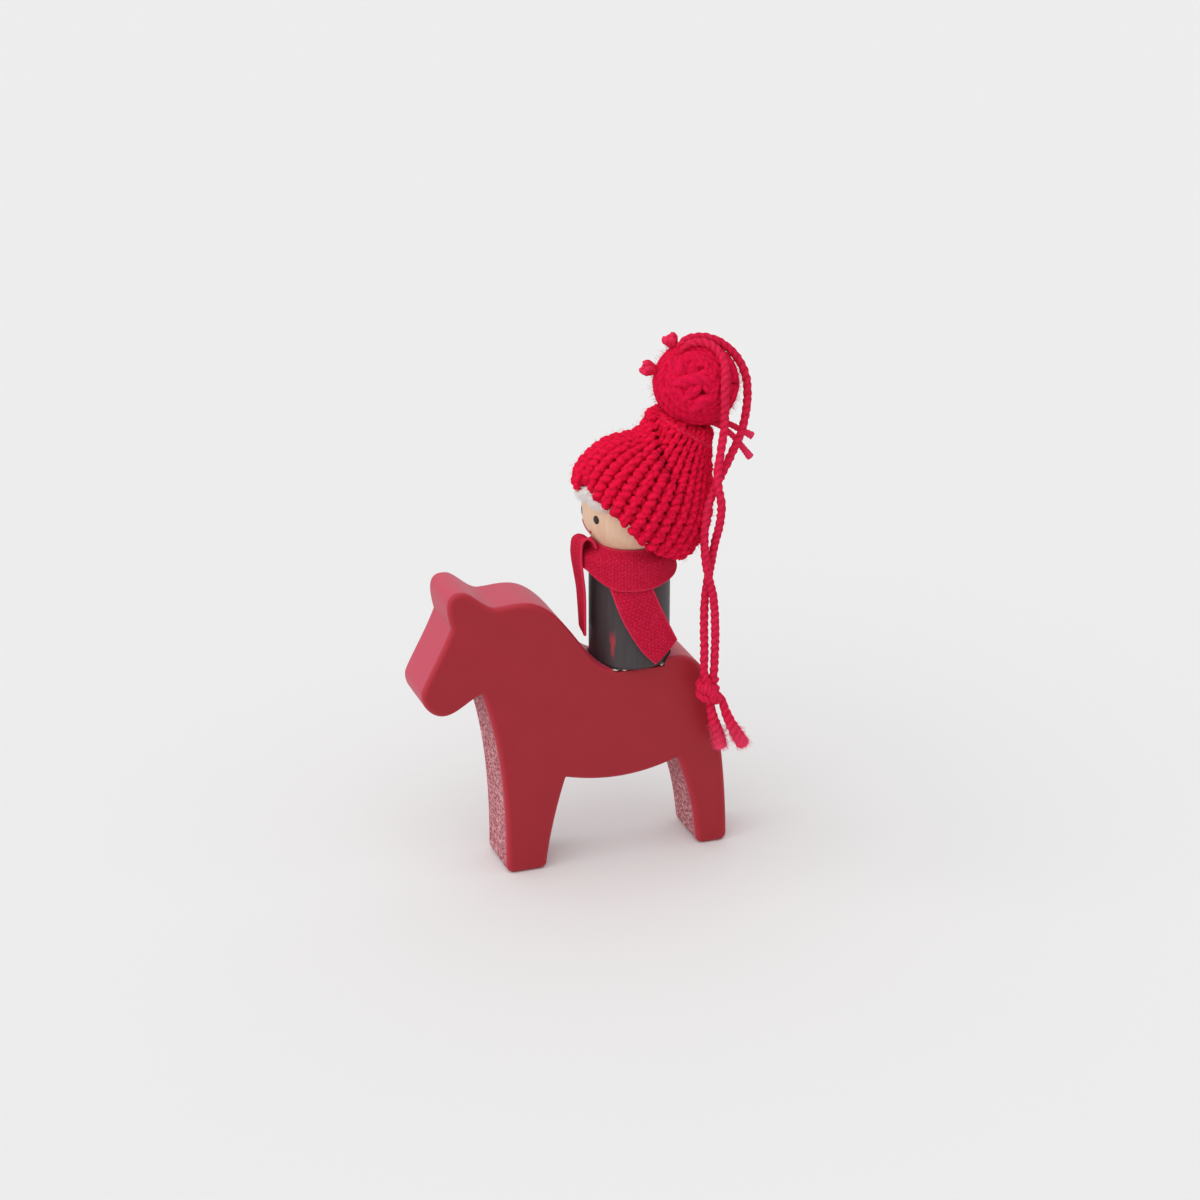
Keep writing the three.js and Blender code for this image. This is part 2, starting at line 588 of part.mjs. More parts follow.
const rider = new THREE.Group();
rider.position.set(SEAT_X, 0, seatZ);
rider.add(seatGlue(), riderPeg(), neckDowel(), scarfWrap(), scarfFrontTail(), scarfSideTail());
figure.add(rider);

const head = new THREE.Group();
head.position.z = headZ;
head.add(headBall());
rider.add(head);

// The pompom sits over the gathered top of the cap, leaning a little to the back
const upright = new THREE.Vector3(0, 1, 0);
const gather = new THREE.Vector3(capProfile(1).slack, 0, CAP_HEIGHT).applyAxisAngle(upright, capTilt);
const pompomCentre = gather.clone().add(new THREE.Vector3(POMPOM_LEAN, 0, POMPOM_RADIUS + POMPOM_LIFT));

const cap = new THREE.Group();
cap.rotation.y = capTilt;
cap.add(knitCap(pompomCentre.clone().applyAxisAngle(upright, -capTilt)), capTie(), hairFringe());
head.add(cap);

const crown = new THREE.Group();
crown.position.copy(pompomCentre);
crown.add(pompom(), ...yarnEnds(), ...hangingLoop());
head.add(crown);

export default figure;
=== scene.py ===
"""Dressed model of a small wooden gnome that rides a red horse sawn from board.

The gnome wears a knitted cap with a wound pompom and a scarf of woven tape, and a loop of
twisted yarn hangs from the pompom. Sizes are in millimetres and turn to metres where a mesh is
made. The frame is the part's own: +Z up, the horse looks along -X and shows its flank at -Y.
"""
import logging
import math
from collections.abc import Sequence
from dataclasses import dataclass
from enum import Enum

import bmesh
import bpy
import numpy as np
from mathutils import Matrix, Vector


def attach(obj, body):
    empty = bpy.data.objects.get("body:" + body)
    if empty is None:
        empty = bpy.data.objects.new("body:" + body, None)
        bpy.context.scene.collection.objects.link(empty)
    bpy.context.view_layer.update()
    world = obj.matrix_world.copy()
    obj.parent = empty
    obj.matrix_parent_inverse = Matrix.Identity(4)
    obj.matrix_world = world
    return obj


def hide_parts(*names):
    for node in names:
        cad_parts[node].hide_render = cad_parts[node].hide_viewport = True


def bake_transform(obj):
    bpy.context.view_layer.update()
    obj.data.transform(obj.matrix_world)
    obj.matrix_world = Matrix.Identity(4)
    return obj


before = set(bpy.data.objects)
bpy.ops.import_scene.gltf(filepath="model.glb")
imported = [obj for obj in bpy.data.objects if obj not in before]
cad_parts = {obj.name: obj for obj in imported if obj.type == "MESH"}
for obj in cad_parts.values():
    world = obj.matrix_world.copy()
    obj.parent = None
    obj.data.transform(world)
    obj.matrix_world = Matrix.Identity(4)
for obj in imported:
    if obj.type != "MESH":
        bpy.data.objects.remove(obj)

Piece = bpy.types.Object
Material = bpy.types.Material
Node = bpy.types.Node
Socket = bpy.types.NodeSocket
Tree = bpy.types.NodeTree
Pair = tuple[float, float]
Point = tuple[float, float, float]

LOG = logging.getLogger("gnome_rider")
MM = 0.001
FULL_TURN = 2 * math.pi
SEED = 7


class Body(Enum):
    """Bodies of the part that a piece can move with."""

    FIGURE = "figure"
    FRONT_TAIL = "front_tail"
    SIDE_TAIL = "side_tail"
    HANG_LOOP = "hang_loop"


class Slot(Enum):
    """Material slots of the part's record."""

    HORSE_PAINT = "horse_paint"
    GLUE = "glue"
    PEG_PAINT = "peg_paint"
    BARE_WOOD = "bare_wood"
    FLEECE = "fleece"
    KNIT = "knit"
    YARN = "yarn"
    TAPE = "tape"


def linear(code: str) -> tuple[float, float, float, float]:
    """Turn an sRGB hex value into a linear colour.

    Args:
        code: six hex digits with a leading hash sign.

    Returns:
        Linear red, green and blue, and an alpha of 1.
    """
    parts = [int(code[i:i + 2], 16) / 255 for i in (1, 3, 5)]
    r, g, b = (p / 12.92 if p <= 0.04045 else ((p + 0.055) / 1.055) ** 2.4 for p in parts)
    return r, g, b, 1.0


def per_mm(size: float) -> float:
    """Texture scale whose pattern repeats about once in a size in millimetres."""
    return 1 / (size * MM)


def add(tree: Tree, kind: str, links: dict | None = None, **settings) -> Node:
    """Add one node to a tree with its settings and its inputs.

    Args:
        tree: shader or geometry node tree.
        kind: type name of the node.
        links: input name or number, and what goes into it: an output, a node for the first
            output that it has in use, or a plain value.
        settings: properties of the node itself.

    Returns:
        The new node.
    """
    node = tree.nodes.new(kind)
    for key, value in settings.items():
        setattr(node, key, value)
    for key, value in (links or {}).items():
        if isinstance(value, Node):
            value = next(output for output in value.outputs if output.enabled)
        if isinstance(value, Socket):
            tree.links.new(value, node.inputs[key])
        else:
            node.inputs[key].default_value = value
    return node


def bell(at: np.ndarray | float, middle: float, width: float) -> np.ndarray:
    """Smooth hump of height 1 at a middle."""
    return np.exp(-((at - middle) / width) ** 2)


def ease(share: np.ndarray) -> np.ndarray:
    """Turn an even share from 0 to 1 into one that starts and ends gently."""
    return share ** 2 * (3 - 2 * share)


def lengths_along(line: np.ndarray) -> np.ndarray:
    """Length of a line of points from its start to each point, in the points' own unit."""
    return np.concatenate([[0], np.cumsum(np.linalg.norm(np.diff(line, axis=0), axis=1))])


def smooth_line(points: Sequence, spacing: float) -> np.ndarray:
    """Run an even, smooth line through points.

    Args:
        points: points on the way, in millimetres.
        spacing: distance between two points of the result.

    Returns:
        Points of a centripetal Catmull-Rom curve, evenly spaced.
    """
    p = np.asarray(points, float)
    p = np.vstack([2 * p[0] - p[1], p, 2 * p[-1] - p[-2]])
    steps = np.linalg.norm(np.diff(p, axis=0), axis=1) ** 0.5
    knots = np.concatenate([[0], np.cumsum(steps)])
    runs = []
    for i in range(1, len(p) - 2):
        t0, t1, t2, t3 = knots[i - 1:i + 3]
        t = np.linspace(t1, t2, 24, endpoint=False)[:, None]
        a1 = ((t1 - t) * p[i - 1] + (t - t0) * p[i]) / (t1 - t0)
        a2 = ((t2 - t) * p[i] + (t - t1) * p[i + 1]) / (t2 - t1)
        a3 = ((t3 - t) * p[i + 1] + (t - t2) * p[i + 2]) / (t3 - t2)
        b1 = ((t2 - t) * a1 + (t - t0) * a2) / (t2 - t0)
        b2 = ((t3 - t) * a2 + (t - t1) * a3) / (t3 - t1)
        runs.append(((t2 - t) * b1 + (t - t1) * b2) / (t2 - t1))
    line = np.vstack([*runs, p[-2:-1]])
    far = lengths_along(line)
    at = np.linspace(0, far[-1], max(2, round(far[-1] / spacing) + 1))
    return np.column_stack([np.interp(at, far, line[:, k]) for k in range(3)])


def grid_faces(rows: int, columns: int, ring: bool = False, first: int = 0,
               flip: bool = False) -> np.ndarray:
    """Quads of a grid of points that is stored row by row.

    Args:
        rows: number of rows of points.
        columns: number of points in a row.
        ring: whether the last column joins the first.
        first: number of the first point.
        flip: whether the quads turn the other way round.

    Returns:
        An array of quads, four point numbers each.
    """
    i = np.arange(rows - 1)[:, None] * columns
    j = np.arange(columns if ring else columns - 1)[None, :]
    k = (j + 1) % columns
    quads = np.stack([i + j, i + k, i + columns + k, i + columns + j], -1)
    quads = quads.reshape(-1, 4) + first
    return quads[:, ::-1] if flip else quads


def shell_faces(rows: int, columns: int, ring: bool = False) -> np.ndarray:
    """Quads of a shell: a grid of points, its back layer and the rims between the two.

    Args:
        rows: number of rows of points in a layer.
        columns: number of points in a row.
        ring: whether the last row meets the first, so that the ends need no rim.

    Returns:
        An array of quads; the back layer's points follow the front layer's.
    """
    half = rows * columns
    faces = [grid_faces(rows, columns), grid_faces(rows, columns, first=half, flip=True)]
    down = np.arange(rows - 1) * columns
    across = np.arange(columns - 1)
    rims = [] if ring else [(across, 1), (half - columns + across, 1)]
    for i, step in [*rims, (down, columns), (down + columns - 1, columns)]:
        faces.append(np.stack([i, i + step, i + step + half, i + half], -1))
    return np.vstack(faces)


def new_piece(name: str, points: np.ndarray, faces: Sequence, material: Material,
              edges: Sequence = ()) -> Piece:
    """Make a mesh object from points and faces, smooth shaded.

    Args:
        name: name of the piece.
        points: corners in millimetres.
        faces: corner numbers of each face.
        material: finish of the piece.
        edges: corner numbers of loose edges.

    Returns:
        The new object, linked to the scene.
    """
    mesh = bpy.data.meshes.new(name)
    mesh.from_pydata((np.asarray(points, float) * MM).tolist(), [tuple(e) for e in edges],
                     [tuple(int(c) for c in f) for f in faces])
    mesh.materials.append(material)
    mesh.shade_smooth()
    piece = bpy.data.objects.new(name, mesh)
    bpy.context.scene.collection.objects.link(piece)
    return piece


def face_outwards(piece: Piece) -> Piece:
    """Merge doubles and turn every face of a closed mesh outwards.

    Args:
        piece: the closed piece.

    Returns:
        The same piece.
    """
    shell = bmesh.new()
    shell.from_mesh(piece.data)
    bmesh.ops.remove_doubles(shell, verts=shell.verts, dist=1e-7)
    bmesh.ops.recalc_face_normals(shell, faces=shell.faces)
    shell.to_mesh(piece.data)
    shell.free()
    return piece


def ball_mesh(subdivisions: int) -> tuple[np.ndarray, list[list[int]]]:
    """Corners and faces of a ball of even triangles.

    Args:
        subdivisions: how often the triangles are split.

    Returns:
        Corners at a distance of 1 from the middle, and the corner numbers of each face.
    """
    ball = bmesh.new()
    bmesh.ops.create_icosphere(ball, subdivisions=subdivisions, radius=1)
    points = np.array([v.co for v in ball.verts])
    faces = [[v.index for v in f.verts] for f in ball.faces]
    ball.free()
    return points, faces


def turned(name: str, profile: Sequence, segments: int, centre: Sequence,
           material: Material) -> Piece:
    """Turn a profile round +Z.

    Args:
        name: name of the piece.
        profile: radius and height of each point, in order, first and last on the axis.
        segments: points round a ring.
        centre: where the axis and height 0 are.
        material: finish of the piece.

    Returns:
        The turned piece.
    """
    angle = np.linspace(0, FULL_TURN, segments, endpoint=False)
    rings = [np.column_stack([r * np.cos(angle), r * np.sin(angle), np.full(segments, z)])
             for r, z in profile]
    faces = grid_faces(len(rings), segments, True)
    return face_outwards(new_piece(name, np.vstack(rings) + np.asarray(centre), faces, material))


def set_attribute(piece: Piece, name: str, values: np.ndarray) -> None:
    """Store one number for each corner of a mesh, for its material to read."""
    layer = piece.data.attributes.new(name, "FLOAT", "POINT")
    layer.data.foreach_set("value", np.asarray(values, np.float32))


def corners(piece: Piece) -> np.ndarray:
    """Read the corners of a mesh.

    Args:
        piece: the mesh object.

    Returns:
        Its corners in millimetres, one to a row.
    """
    flat = np.zeros(len(piece.data.vertices) * 3)
    piece.data.vertices.foreach_get("co", flat)
    return flat.reshape(-1, 3) / MM


def settle(piece: Piece) -> None:
    """Turn a piece with live modifiers into a plain mesh.

    Args:
        piece: the piece, which keeps its name.
    """
    view = bpy.context.evaluated_depsgraph_get()
    mesh = bpy.data.meshes.new_from_object(piece.evaluated_get(view))
    piece.modifiers.clear()
    raw = piece.data
    piece.data = mesh
    bpy.data.meshes.remove(raw)
    mesh.name = piece.name


def dress(piece: Piece, body: Body, slot: Slot, *stands_for: str,
          bend: tuple[Point, Point] | None = None) -> None:
    """Tie a finished piece to a body, or bake it in place if it has a bend, and report it.

    Args:
        piece: the finished piece.
        body: body that it moves with.
        slot: slot that its finish belongs to; not used.
        stands_for: solids of the part that it replaces.
        bend: two points in metres, where it would stop following the figure and where it would
            follow the body in full; a piece that has them is baked in place and tied to no body.
    """
    if bend:
        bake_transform(piece)
    else:
        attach(piece, body.value)
    if stands_for:
        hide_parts(*stands_for)
    LOG.info("%s on %s: %d faces", piece.name, body.value, len(piece.data.polygons))


def open_tree(name: str, inputs: dict[str, str]) -> tuple[Tree, bpy.types.NodeOutputs]:
    """Start a geometry node tree with named inputs.

    Args:
        name: name of the tree.
        inputs: name and kind of each input after the geometry.

    Returns:
        The tree, and its inputs by name for nodes to read.
    """
    tree = bpy.data.node_groups.new(name, "GeometryNodeTree")
    for title, kind in {"Geometry": "Geometry", **inputs}.items():
        tree.interface.new_socket(title, in_out="INPUT", socket_type=f"NodeSocket{kind}")
    tree.interface.new_socket("Geometry", in_out="OUTPUT", socket_type="NodeSocketGeometry")
    return tree, add(tree, "NodeGroupInput").outputs


def close_tree(tree: Tree, shape: Node, material: Socket) -> None:
    """End a geometry node tree: smooth, realize, set the material and put out.

    Args:
        tree: the tree.
        shape: node that makes the shape.
        material: input that holds the material.
    """
    smooth = add(tree, "GeometryNodeSetShadeSmooth", {0: shape})
    real = add(tree, "GeometryNodeRealizeInstances", {0: smooth})
    finished = add(tree, "GeometryNodeSetMaterial", {0: real, "Material": material})
    add(tree, "NodeGroupOutput", {0: finished})


def yarn_tree() -> Tree:
    """Build the tree that sweeps plied yarn along lines of edges.

    Returns:
        A tree that reads the share of full thickness at each point from the attribute thick.
    """
    tree, given = open_tree("plied yarn", {
        "Radius": "Float", "Sides": "Int", "Plies": "Int", "Ply Depth": "Float",
        "Turns": "Float", "Fuzz": "Float", "Fuzz Size": "Float", "Seed": "Float",
        "Material": "Material"})
    line = add(tree, "GeometryNodeMeshToCurve", {0: given["Geometry"]})
    along = add(tree, "GeometryNodeSplineParameter").outputs["Length"]
    turns = add(tree, "ShaderNodeMath", {0: along, 1: given["Turns"]}, operation="MULTIPLY")
    tilt = add(tree, "ShaderNodeMath", {0: turns, 1: FULL_TURN}, operation="MULTIPLY")
    twisted = add(tree, "GeometryNodeSetCurveTilt", {0: line, "Tilt": tilt})
    circle = add(tree, "GeometryNodeCurvePrimitiveCircle",
                 {"Resolution": given["Sides"], "Radius": given["Radius"]})
    place = add(tree, "GeometryNodeInputPosition")
    axes = add(tree, "ShaderNodeSeparateXYZ", {0: place}).outputs
    angle = add(tree, "ShaderNodeMath", {0: axes[1], 1: axes[0]}, operation="ARCTAN2")
    lobes = add(tree, "ShaderNodeMath", {0: angle, 1: given["Plies"]}, operation="MULTIPLY")
    wave = add(tree, "ShaderNodeMath", {0: lobes}, operation="COSINE")
    swell = add(tree, "ShaderNodeMath", {0: wave, 1: given["Ply Depth"]}, operation="MULTIPLY")
    push = add(tree, "ShaderNodeVectorMath", {0: place, "Scale": swell}, operation="SCALE")
    # ply is 1 on a ply's crown and -1 in a groove; the yarn's material darkens the grooves with
    # it as painted shade
    marked = add(tree, "GeometryNodeStoreNamedAttribute",
                 {0: circle, "Name": "ply", "Value": wave}, data_type="FLOAT", domain="POINT")
    section = add(tree, "GeometryNodeSetPosition", {0: marked, "Offset": push})
    thick = add(tree, "GeometryNodeInputNamedAttribute", {"Name": "thick"}, data_type="FLOAT")
    swept = add(tree, "GeometryNodeCurveToMesh",
                {0: twisted, 1: section, "Scale": thick, "Fill Caps": True})
    size = add(tree, "ShaderNodeMath", {0: 1.0, 1: given["Fuzz Size"]}, operation="DIVIDE")
    noise = add(tree, "ShaderNodeTexNoise",
                {"W": given["Seed"], "Scale": size, "Detail": 2.0}, noise_dimensions="4D")
    level = add(tree, "ShaderNodeMath", {0: noise, 1: 0.5}, operation="SUBTRACT")
    amount = add(tree, "ShaderNodeMath", {0: level, 1: given["Fuzz"]}, operation="MULTIPLY")
    normal = add(tree, "GeometryNodeInputNormal")
    lift = add(tree, "ShaderNodeVectorMath", {0: normal, "Scale": amount}, operation="SCALE")
    rough = add(tree, "GeometryNodeSetPosition", {0: swept, "Offset": lift})
    close_tree(tree, rough, given["Material"])
    return tree


def fibre_tree() -> Tree:
    """Build the tree that grows short bent fibres from a surface.

    Returns:
        A tree whose fibres lean from the surface's normal towards the vector Fall.
    """
    tree, given = open_tree("fibres", {
        "Density": "Float", "Length": "Float", "Thickness": "Float", "Spread": "Float",
        "Lift": "Float", "Fall": "Vector", "Seed": "Int", "Material": "Material"})
    roots = add(tree, "GeometryNodeDistributePointsOnFaces",
                {0: given["Geometry"], "Density": given["Density"], "Seed": given["Seed"]},
                distribute_method="RANDOM").outputs
    # One fibre of length 1, bent over at its tip
    bend = add(tree, "GeometryNodeCurveQuadraticBezier", {
        "Resolution": 3, "Start": (0, 0, -0.1), "Middle": (0.05, 0, 0.6),
        "End": (0.45, 0, 0.95)})
    share = add(tree, "ShaderNodeMath", {0: given["Thickness"], 1: given["Length"]},
                operation="DIVIDE")
    section = add(tree, "GeometryNodeCurvePrimitiveCircle", {"Resolution": 3, "Radius": share})
    along = add(tree, "GeometryNodeSplineParameter").outputs["Factor"]
    taper = add(tree, "ShaderNodeMapRange", {0: along, 3: 1.0, 4: 0.35})
    fibre = add(tree, "GeometryNodeCurveToMesh",
                {0: bend, 1: section, "Scale": taper, "Fill Caps": True})
    out = add(tree, "ShaderNodeVectorMath", {0: roots["Normal"], "Scale": given["Lift"]},
              operation="SCALE")
    aim = add(tree, "ShaderNodeVectorMath", {0: out, 1: given["Fall"]}, operation="ADD")
    turn = add(tree, "FunctionNodeAlignRotationToVector", {"Vector": aim}, axis="Z")
    low = add(tree, "ShaderNodeMath", {0: given["Spread"], 1: -1.0}, operation="MULTIPLY")
    least = add(tree, "ShaderNodeCombineXYZ", {0: low, 1: low, 2: 0.0})
    most = add(tree, "ShaderNodeCombineXYZ",
               {0: given["Spread"], 1: given["Spread"], 2: FULL_TURN})
    stray = add(tree, "FunctionNodeRandomValue", {0: least, 1: most, "Seed": given["Seed"]},
                data_type="FLOAT_VECTOR")
    stray_turn = add(tree, "FunctionNodeEulerToRotation", {0: stray})
    spin = add(tree, "FunctionNodeRotateRotation", {0: turn, 1: stray_turn},
               rotation_space="LOCAL")
    size = add(tree, "FunctionNodeRandomValue", {2: 0.45, 3: 1.0, "Seed": given["Seed"]},
               data_type="FLOAT")
    scale = add(tree, "ShaderNodeMath", {0: size, 1: given["Length"]}, operation="MULTIPLY")
    grown = add(tree, "GeometryNodeInstanceOnPoints", {
        "Points": roots["Points"], "Instance": fibre, "Rotation": spin, "Scale": scale})
    close_tree(tree, grown, given["Material"])
    return tree


def open_material(name: str) -> tuple[Tree, Socket]:
    """Start a material that reads Object coordinates.

    Args:
        name: name of the real material.

    Returns:
        Its node tree and the coordinates.
    """
    material = bpy.data.materials.new(name)
    material.use_nodes = True
    tree = material.node_tree
    tree.nodes.clear()
    return tree, add(tree, "ShaderNodeTexCoord").outputs["Object"]


def close_material(name: str, tree: Tree, inputs: dict) -> Material:
    """End a material with its shader.

    Args:
        name: name of the material.
        tree: its node tree.
        inputs: what goes into each input of the shader.

    Returns:
        The finished material.
    """
    shader = add(tree, "ShaderNodeBsdfPrincipled", inputs)
    add(tree, "ShaderNodeOutputMaterial", {"Surface": shader})
    return bpy.data.materials[name]


@dataclass(frozen=True)
class Lacquer:
    """Satin lacquer sprayed on a sawn pine board."""

    # Gives the eye a deep even red with broad soft highlights on the flanks, a painted highlight
    # of paler red on the edge faces, and a dry pink speckle where the saw left the grain open
    name: str = "satin lacquer on pine"
    colour: str = "#A5232F"
    mottle: str = "#9D1F2B"
    mottle_size: float = 7.0
    # Painted highlight: the edge faces get this paler red for the light that falls on them
    edge: str = "#C04258"
    sawn: str = "#E6A8AC"
    sawn_roughness: float = 0.8
    pit: str = "#A04A55"
    worn: str = "#C23040"
    roughness: float = 0.48
    # Pores of pine are finer than shows from here, so the pits are drawn coarser
    grain: float = 0.55
    pit_length: float = 0.95
    pit_depth: float = 0.25
    peel_size: float = 0.7

    def material(self) -> Material:
        """Build the lacquer.

        Returns:
            A material that reads three attributes: rim is 1 on the edge faces, which get a paler
            red as painted highlight, sawn where the grain is open and worn on the arrises.
        """
        tree, place = open_material(self.name)
        spots = add(tree, "ShaderNodeTexNoise", {
            "Vector": place, "Scale": per_mm(self.mottle_size), "Detail": 4.0})
        flat = add(tree, "ShaderNodeMix", {
            0: spots, 6: linear(self.colour), 7: linear(self.mottle)}, data_type="RGBA")
        rim, worn, sawn = (add(tree, "ShaderNodeAttribute", attribute_name=name).outputs["Fac"]
                           for name in ("rim", "worn", "sawn"))
        # Painted highlight: a paler red on the edge faces, where rim is 1
        thin = add(tree, "ShaderNodeMix", {
            0: rim, 6: flat, 7: linear(self.edge)}, data_type="RGBA")
        edge = add(tree, "ShaderNodeMix", {
            0: worn, 6: thin, 7: linear(self.worn)}, data_type="RGBA")
        # Saw marks and open pores run along the board's width, short and close together
        stretch = add(tree, "ShaderNodeMapping", {
            "Vector": place, "Scale": (1.0, self.grain / self.pit_length, 1.0)})
        pores = add(tree, "ShaderNodeTexNoise", {
            "Vector": stretch, "Scale": per_mm(self.grain), "Detail": 3.0, "Roughness": 0.65})
        pit = add(tree, "ShaderNodeMapRange", {0: pores, 1: 0.42, 2: 0.6})
        raw = add(tree, "ShaderNodeMix", {
            0: pit, 6: linear(self.pit), 7: linear(self.sawn)}, data_type="RGBA")
        colour = add(tree, "ShaderNodeMix", {0: sawn, 6: edge, 7: raw}, data_type="RGBA")
        gloss = add(tree, "ShaderNodeMapRange", {
            0: sawn, 3: self.roughness, 4: self.sawn_roughness})
        peel = add(tree, "ShaderNodeTexNoise", {
            "Vector": place, "Scale": per_mm(self.peel_size), "Detail": 2.0})
        smooth = add(tree, "ShaderNodeBump", {
            "Strength": 0.12, "Distance": 0.05 * MM, "Height": peel})
        deep = add(tree, "ShaderNodeMath", {0: pit, 1: sawn}, operation="MULTIPLY")
        bump = add(tree, "ShaderNodeBump", {
            "Strength": 0.7, "Distance": self.pit_depth * MM, "Height": deep, "Normal": smooth})
        return close_material(self.name, tree, {
            "Base Color": colour, "Roughness": gloss, "Normal": bump, "IOR": 1.45,
            "Specular IOR Level": 0.32})


@dataclass(frozen=True)
class Wood:
    """Turned hardwood whose grain runs along Z, bare or under a thin stain."""

    # Gives the eye long soft streaks along the grain and a dull, slightly uneven gloss
    name: str
    light: str
    dark: str
    streak: float
    contrast: float
    roughness: float
    chip: str | None = None
    stretch: float = 0.07

    def material(self) -> Material:
        """Build the wood.

        Returns:
            A material that shows bright paint where the attribute chip is 1, if it has a chip.
        """
        tree, place = open_material(self.name)
        along = add(tree, "ShaderNodeMapping", {
            "Vector": place, "Scale": (1.0, 1.0, self.stretch)})
        streaks = add(tree, "ShaderNodeTexNoise", {
            "Vector": along, "Scale": per_mm(self.streak), "Detail": 5.0, "Roughness": 0.6})
        level = add(tree, "ShaderNodeMapRange", {
            0: streaks, 1: 0.5 - self.contrast, 2: 0.5 + self.contrast})
        shown = add(tree, "ShaderNodeMix", {
            0: level, 6: linear(self.light), 7: linear(self.dark)}, data_type="RGBA")
        if self.chip:
            mark = add(tree, "ShaderNodeAttribute", attribute_name="chip").outputs["Fac"]
            shown = add(tree, "ShaderNodeMix", {
                0: mark, 6: shown, 7: linear(self.chip)}, data_type="RGBA")
        bump = add(tree, "ShaderNodeBump", {
            "Strength": 0.25, "Distance": 0.08 * MM, "Height": streaks})
        return close_material(self.name, tree, {
            "Base Color": shown, "Normal": bump, "Roughness": self.roughness, "IOR": 1.5})


@dataclass(frozen=True)
class Yarn:
    """Spun and plied acrylic yarn, brushed a little."""

    # Gives the eye a matt, hairy thread with painted shade in the grooves between its plies and
    # a painted highlight where loose fibres catch the light
    name: str
    colour: str
    # Painted shade in the grooves between the plies
    groove: str
    # Painted highlight where fibres catch the light, and the tint of the sheen
    bright: str
    frayed: str = "#FF527F"
    # Single fibres are too fine to show, so the painted-highlight speckle stands for small
    # bundles of them
    fibre: float = 0.32
    sheen: float = 0.12

    def material(self) -> Material:
        """Build the yarn.

        Returns:
            A material that reads two attributes: ply is 1 on a ply's crown and -1 in a groove,
            and pale is 1 on a frayed end.
        """
        tree, place = open_material(self.name)
        ply, pale = (add(tree, "ShaderNodeAttribute", attribute_name=name).outputs["Fac"]
                     for name in ("ply", "pale"))
        crown = add(tree, "ShaderNodeMapRange", {0: ply, 1: -1.0, 2: 0.4})
        fibres = add(tree, "ShaderNodeTexNoise", {
            "Vector": place, "Scale": per_mm(self.fibre), "Detail": 4.0, "Roughness": 0.7})
        # Painted shade: the grooves between the plies take the darker colour
        base = add(tree, "ShaderNodeMix", {
            0: crown, 6: linear(self.groove), 7: linear(self.colour)}, data_type="RGBA")
        # Painted highlight: a bright speckle where bundles of fibres catch the light
        glint = add(tree, "ShaderNodeMapRange", {0: fibres, 1: 0.48, 2: 0.72, 3: 0.0, 4: 0.8})
        strand = add(tree, "ShaderNodeMix", {
            0: glint, 6: base, 7: linear(self.bright)}, data_type="RGBA")
        colour = add(tree, "ShaderNodeMix", {
            0: pale, 6: strand, 7: linear(self.frayed)}, data_type="RGBA")
        bump = add(tree, "ShaderNodeBump", {
            "Strength": 0.7, "Distance": 0.14 * MM, "Height": fibres})
        return close_material(self.name, tree, {
            "Base Color": colour, "Normal": bump, "Roughness": 0.92,
            "Specular IOR Level": 0.08, "Sheen Weight": self.sheen, "Sheen Roughness": 0.5,
            "Sheen Tint": linear(self.bright)})


@dataclass(frozen=True)
class Tape:
    """Plain-woven cotton tape."""

    # Gives the eye small raised threads with painted shade in the gaps between them, a dry matt
    # face with a speckle of painted highlight, and a paler cord of selvedge along both edges
    name: str = "plain-woven cotton tape"
    colour: str = "#D8183F"
    # Painted shade in the gaps between the threads
    valley_shade: str = "#9E0C2C"
    # Painted highlight on the lint speckle, and the tint of the sheen
    bright: str = "#E4385C"
    selvedge: str = "#E04464"
    # Lint is too fine to show, so its speckle of painted highlight is drawn about as wide as a
    # thread
    lint: float = 0.5

    def material(self) -> Material:
        """Build the tape.

        Returns:
            A material that reads two attributes: weave is 1 on a thread's crown and 0 between
            threads, and selvedge is highest on the edge.
        """
        tree, place = open_material(self.name)
        weave, rim = (add(tree, "ShaderNodeAttribute", attribute_name=name).outputs["Fac"]
                      for name in ("weave", "selvedge"))
        # Painted shade: the gaps between the threads take the darker colour
        base = add(tree, "ShaderNodeMix", {
            0: weave, 6: linear(self.valley_shade), 7: linear(self.colour)}, data_type="RGBA")
        lint = add(tree, "ShaderNodeTexNoise", {
            "Vector": place, "Scale": per_mm(self.lint), "Detail": 3.0, "Roughness": 0.7})
        # Painted highlight: a bright speckle on the lint
        glint = add(tree, "ShaderNodeMapRange", {0: lint, 1: 0.5, 2: 0.75, 3: 0.0, 4: 0.5})
        cloth = add(tree, "ShaderNodeMix", {
            0: glint, 6: base, 7: linear(self.bright)}, data_type="RGBA")
        colour = add(tree, "ShaderNodeMix", {
            0: rim, 6: cloth, 7: linear(self.selvedge)}, data_type="RGBA")
        bump = add(tree, "ShaderNodeBump", {
            "Strength": 0.4, "Distance": 0.06 * MM, "Height": lint})
        return close_material(self.name, tree, {
            "Base Color": colour, "Normal": bump, "Roughness": 0.85,
            "Specular IOR Level": 0.12, "Sheen Weight": 0.1, "Sheen Tint": linear(self.bright)})


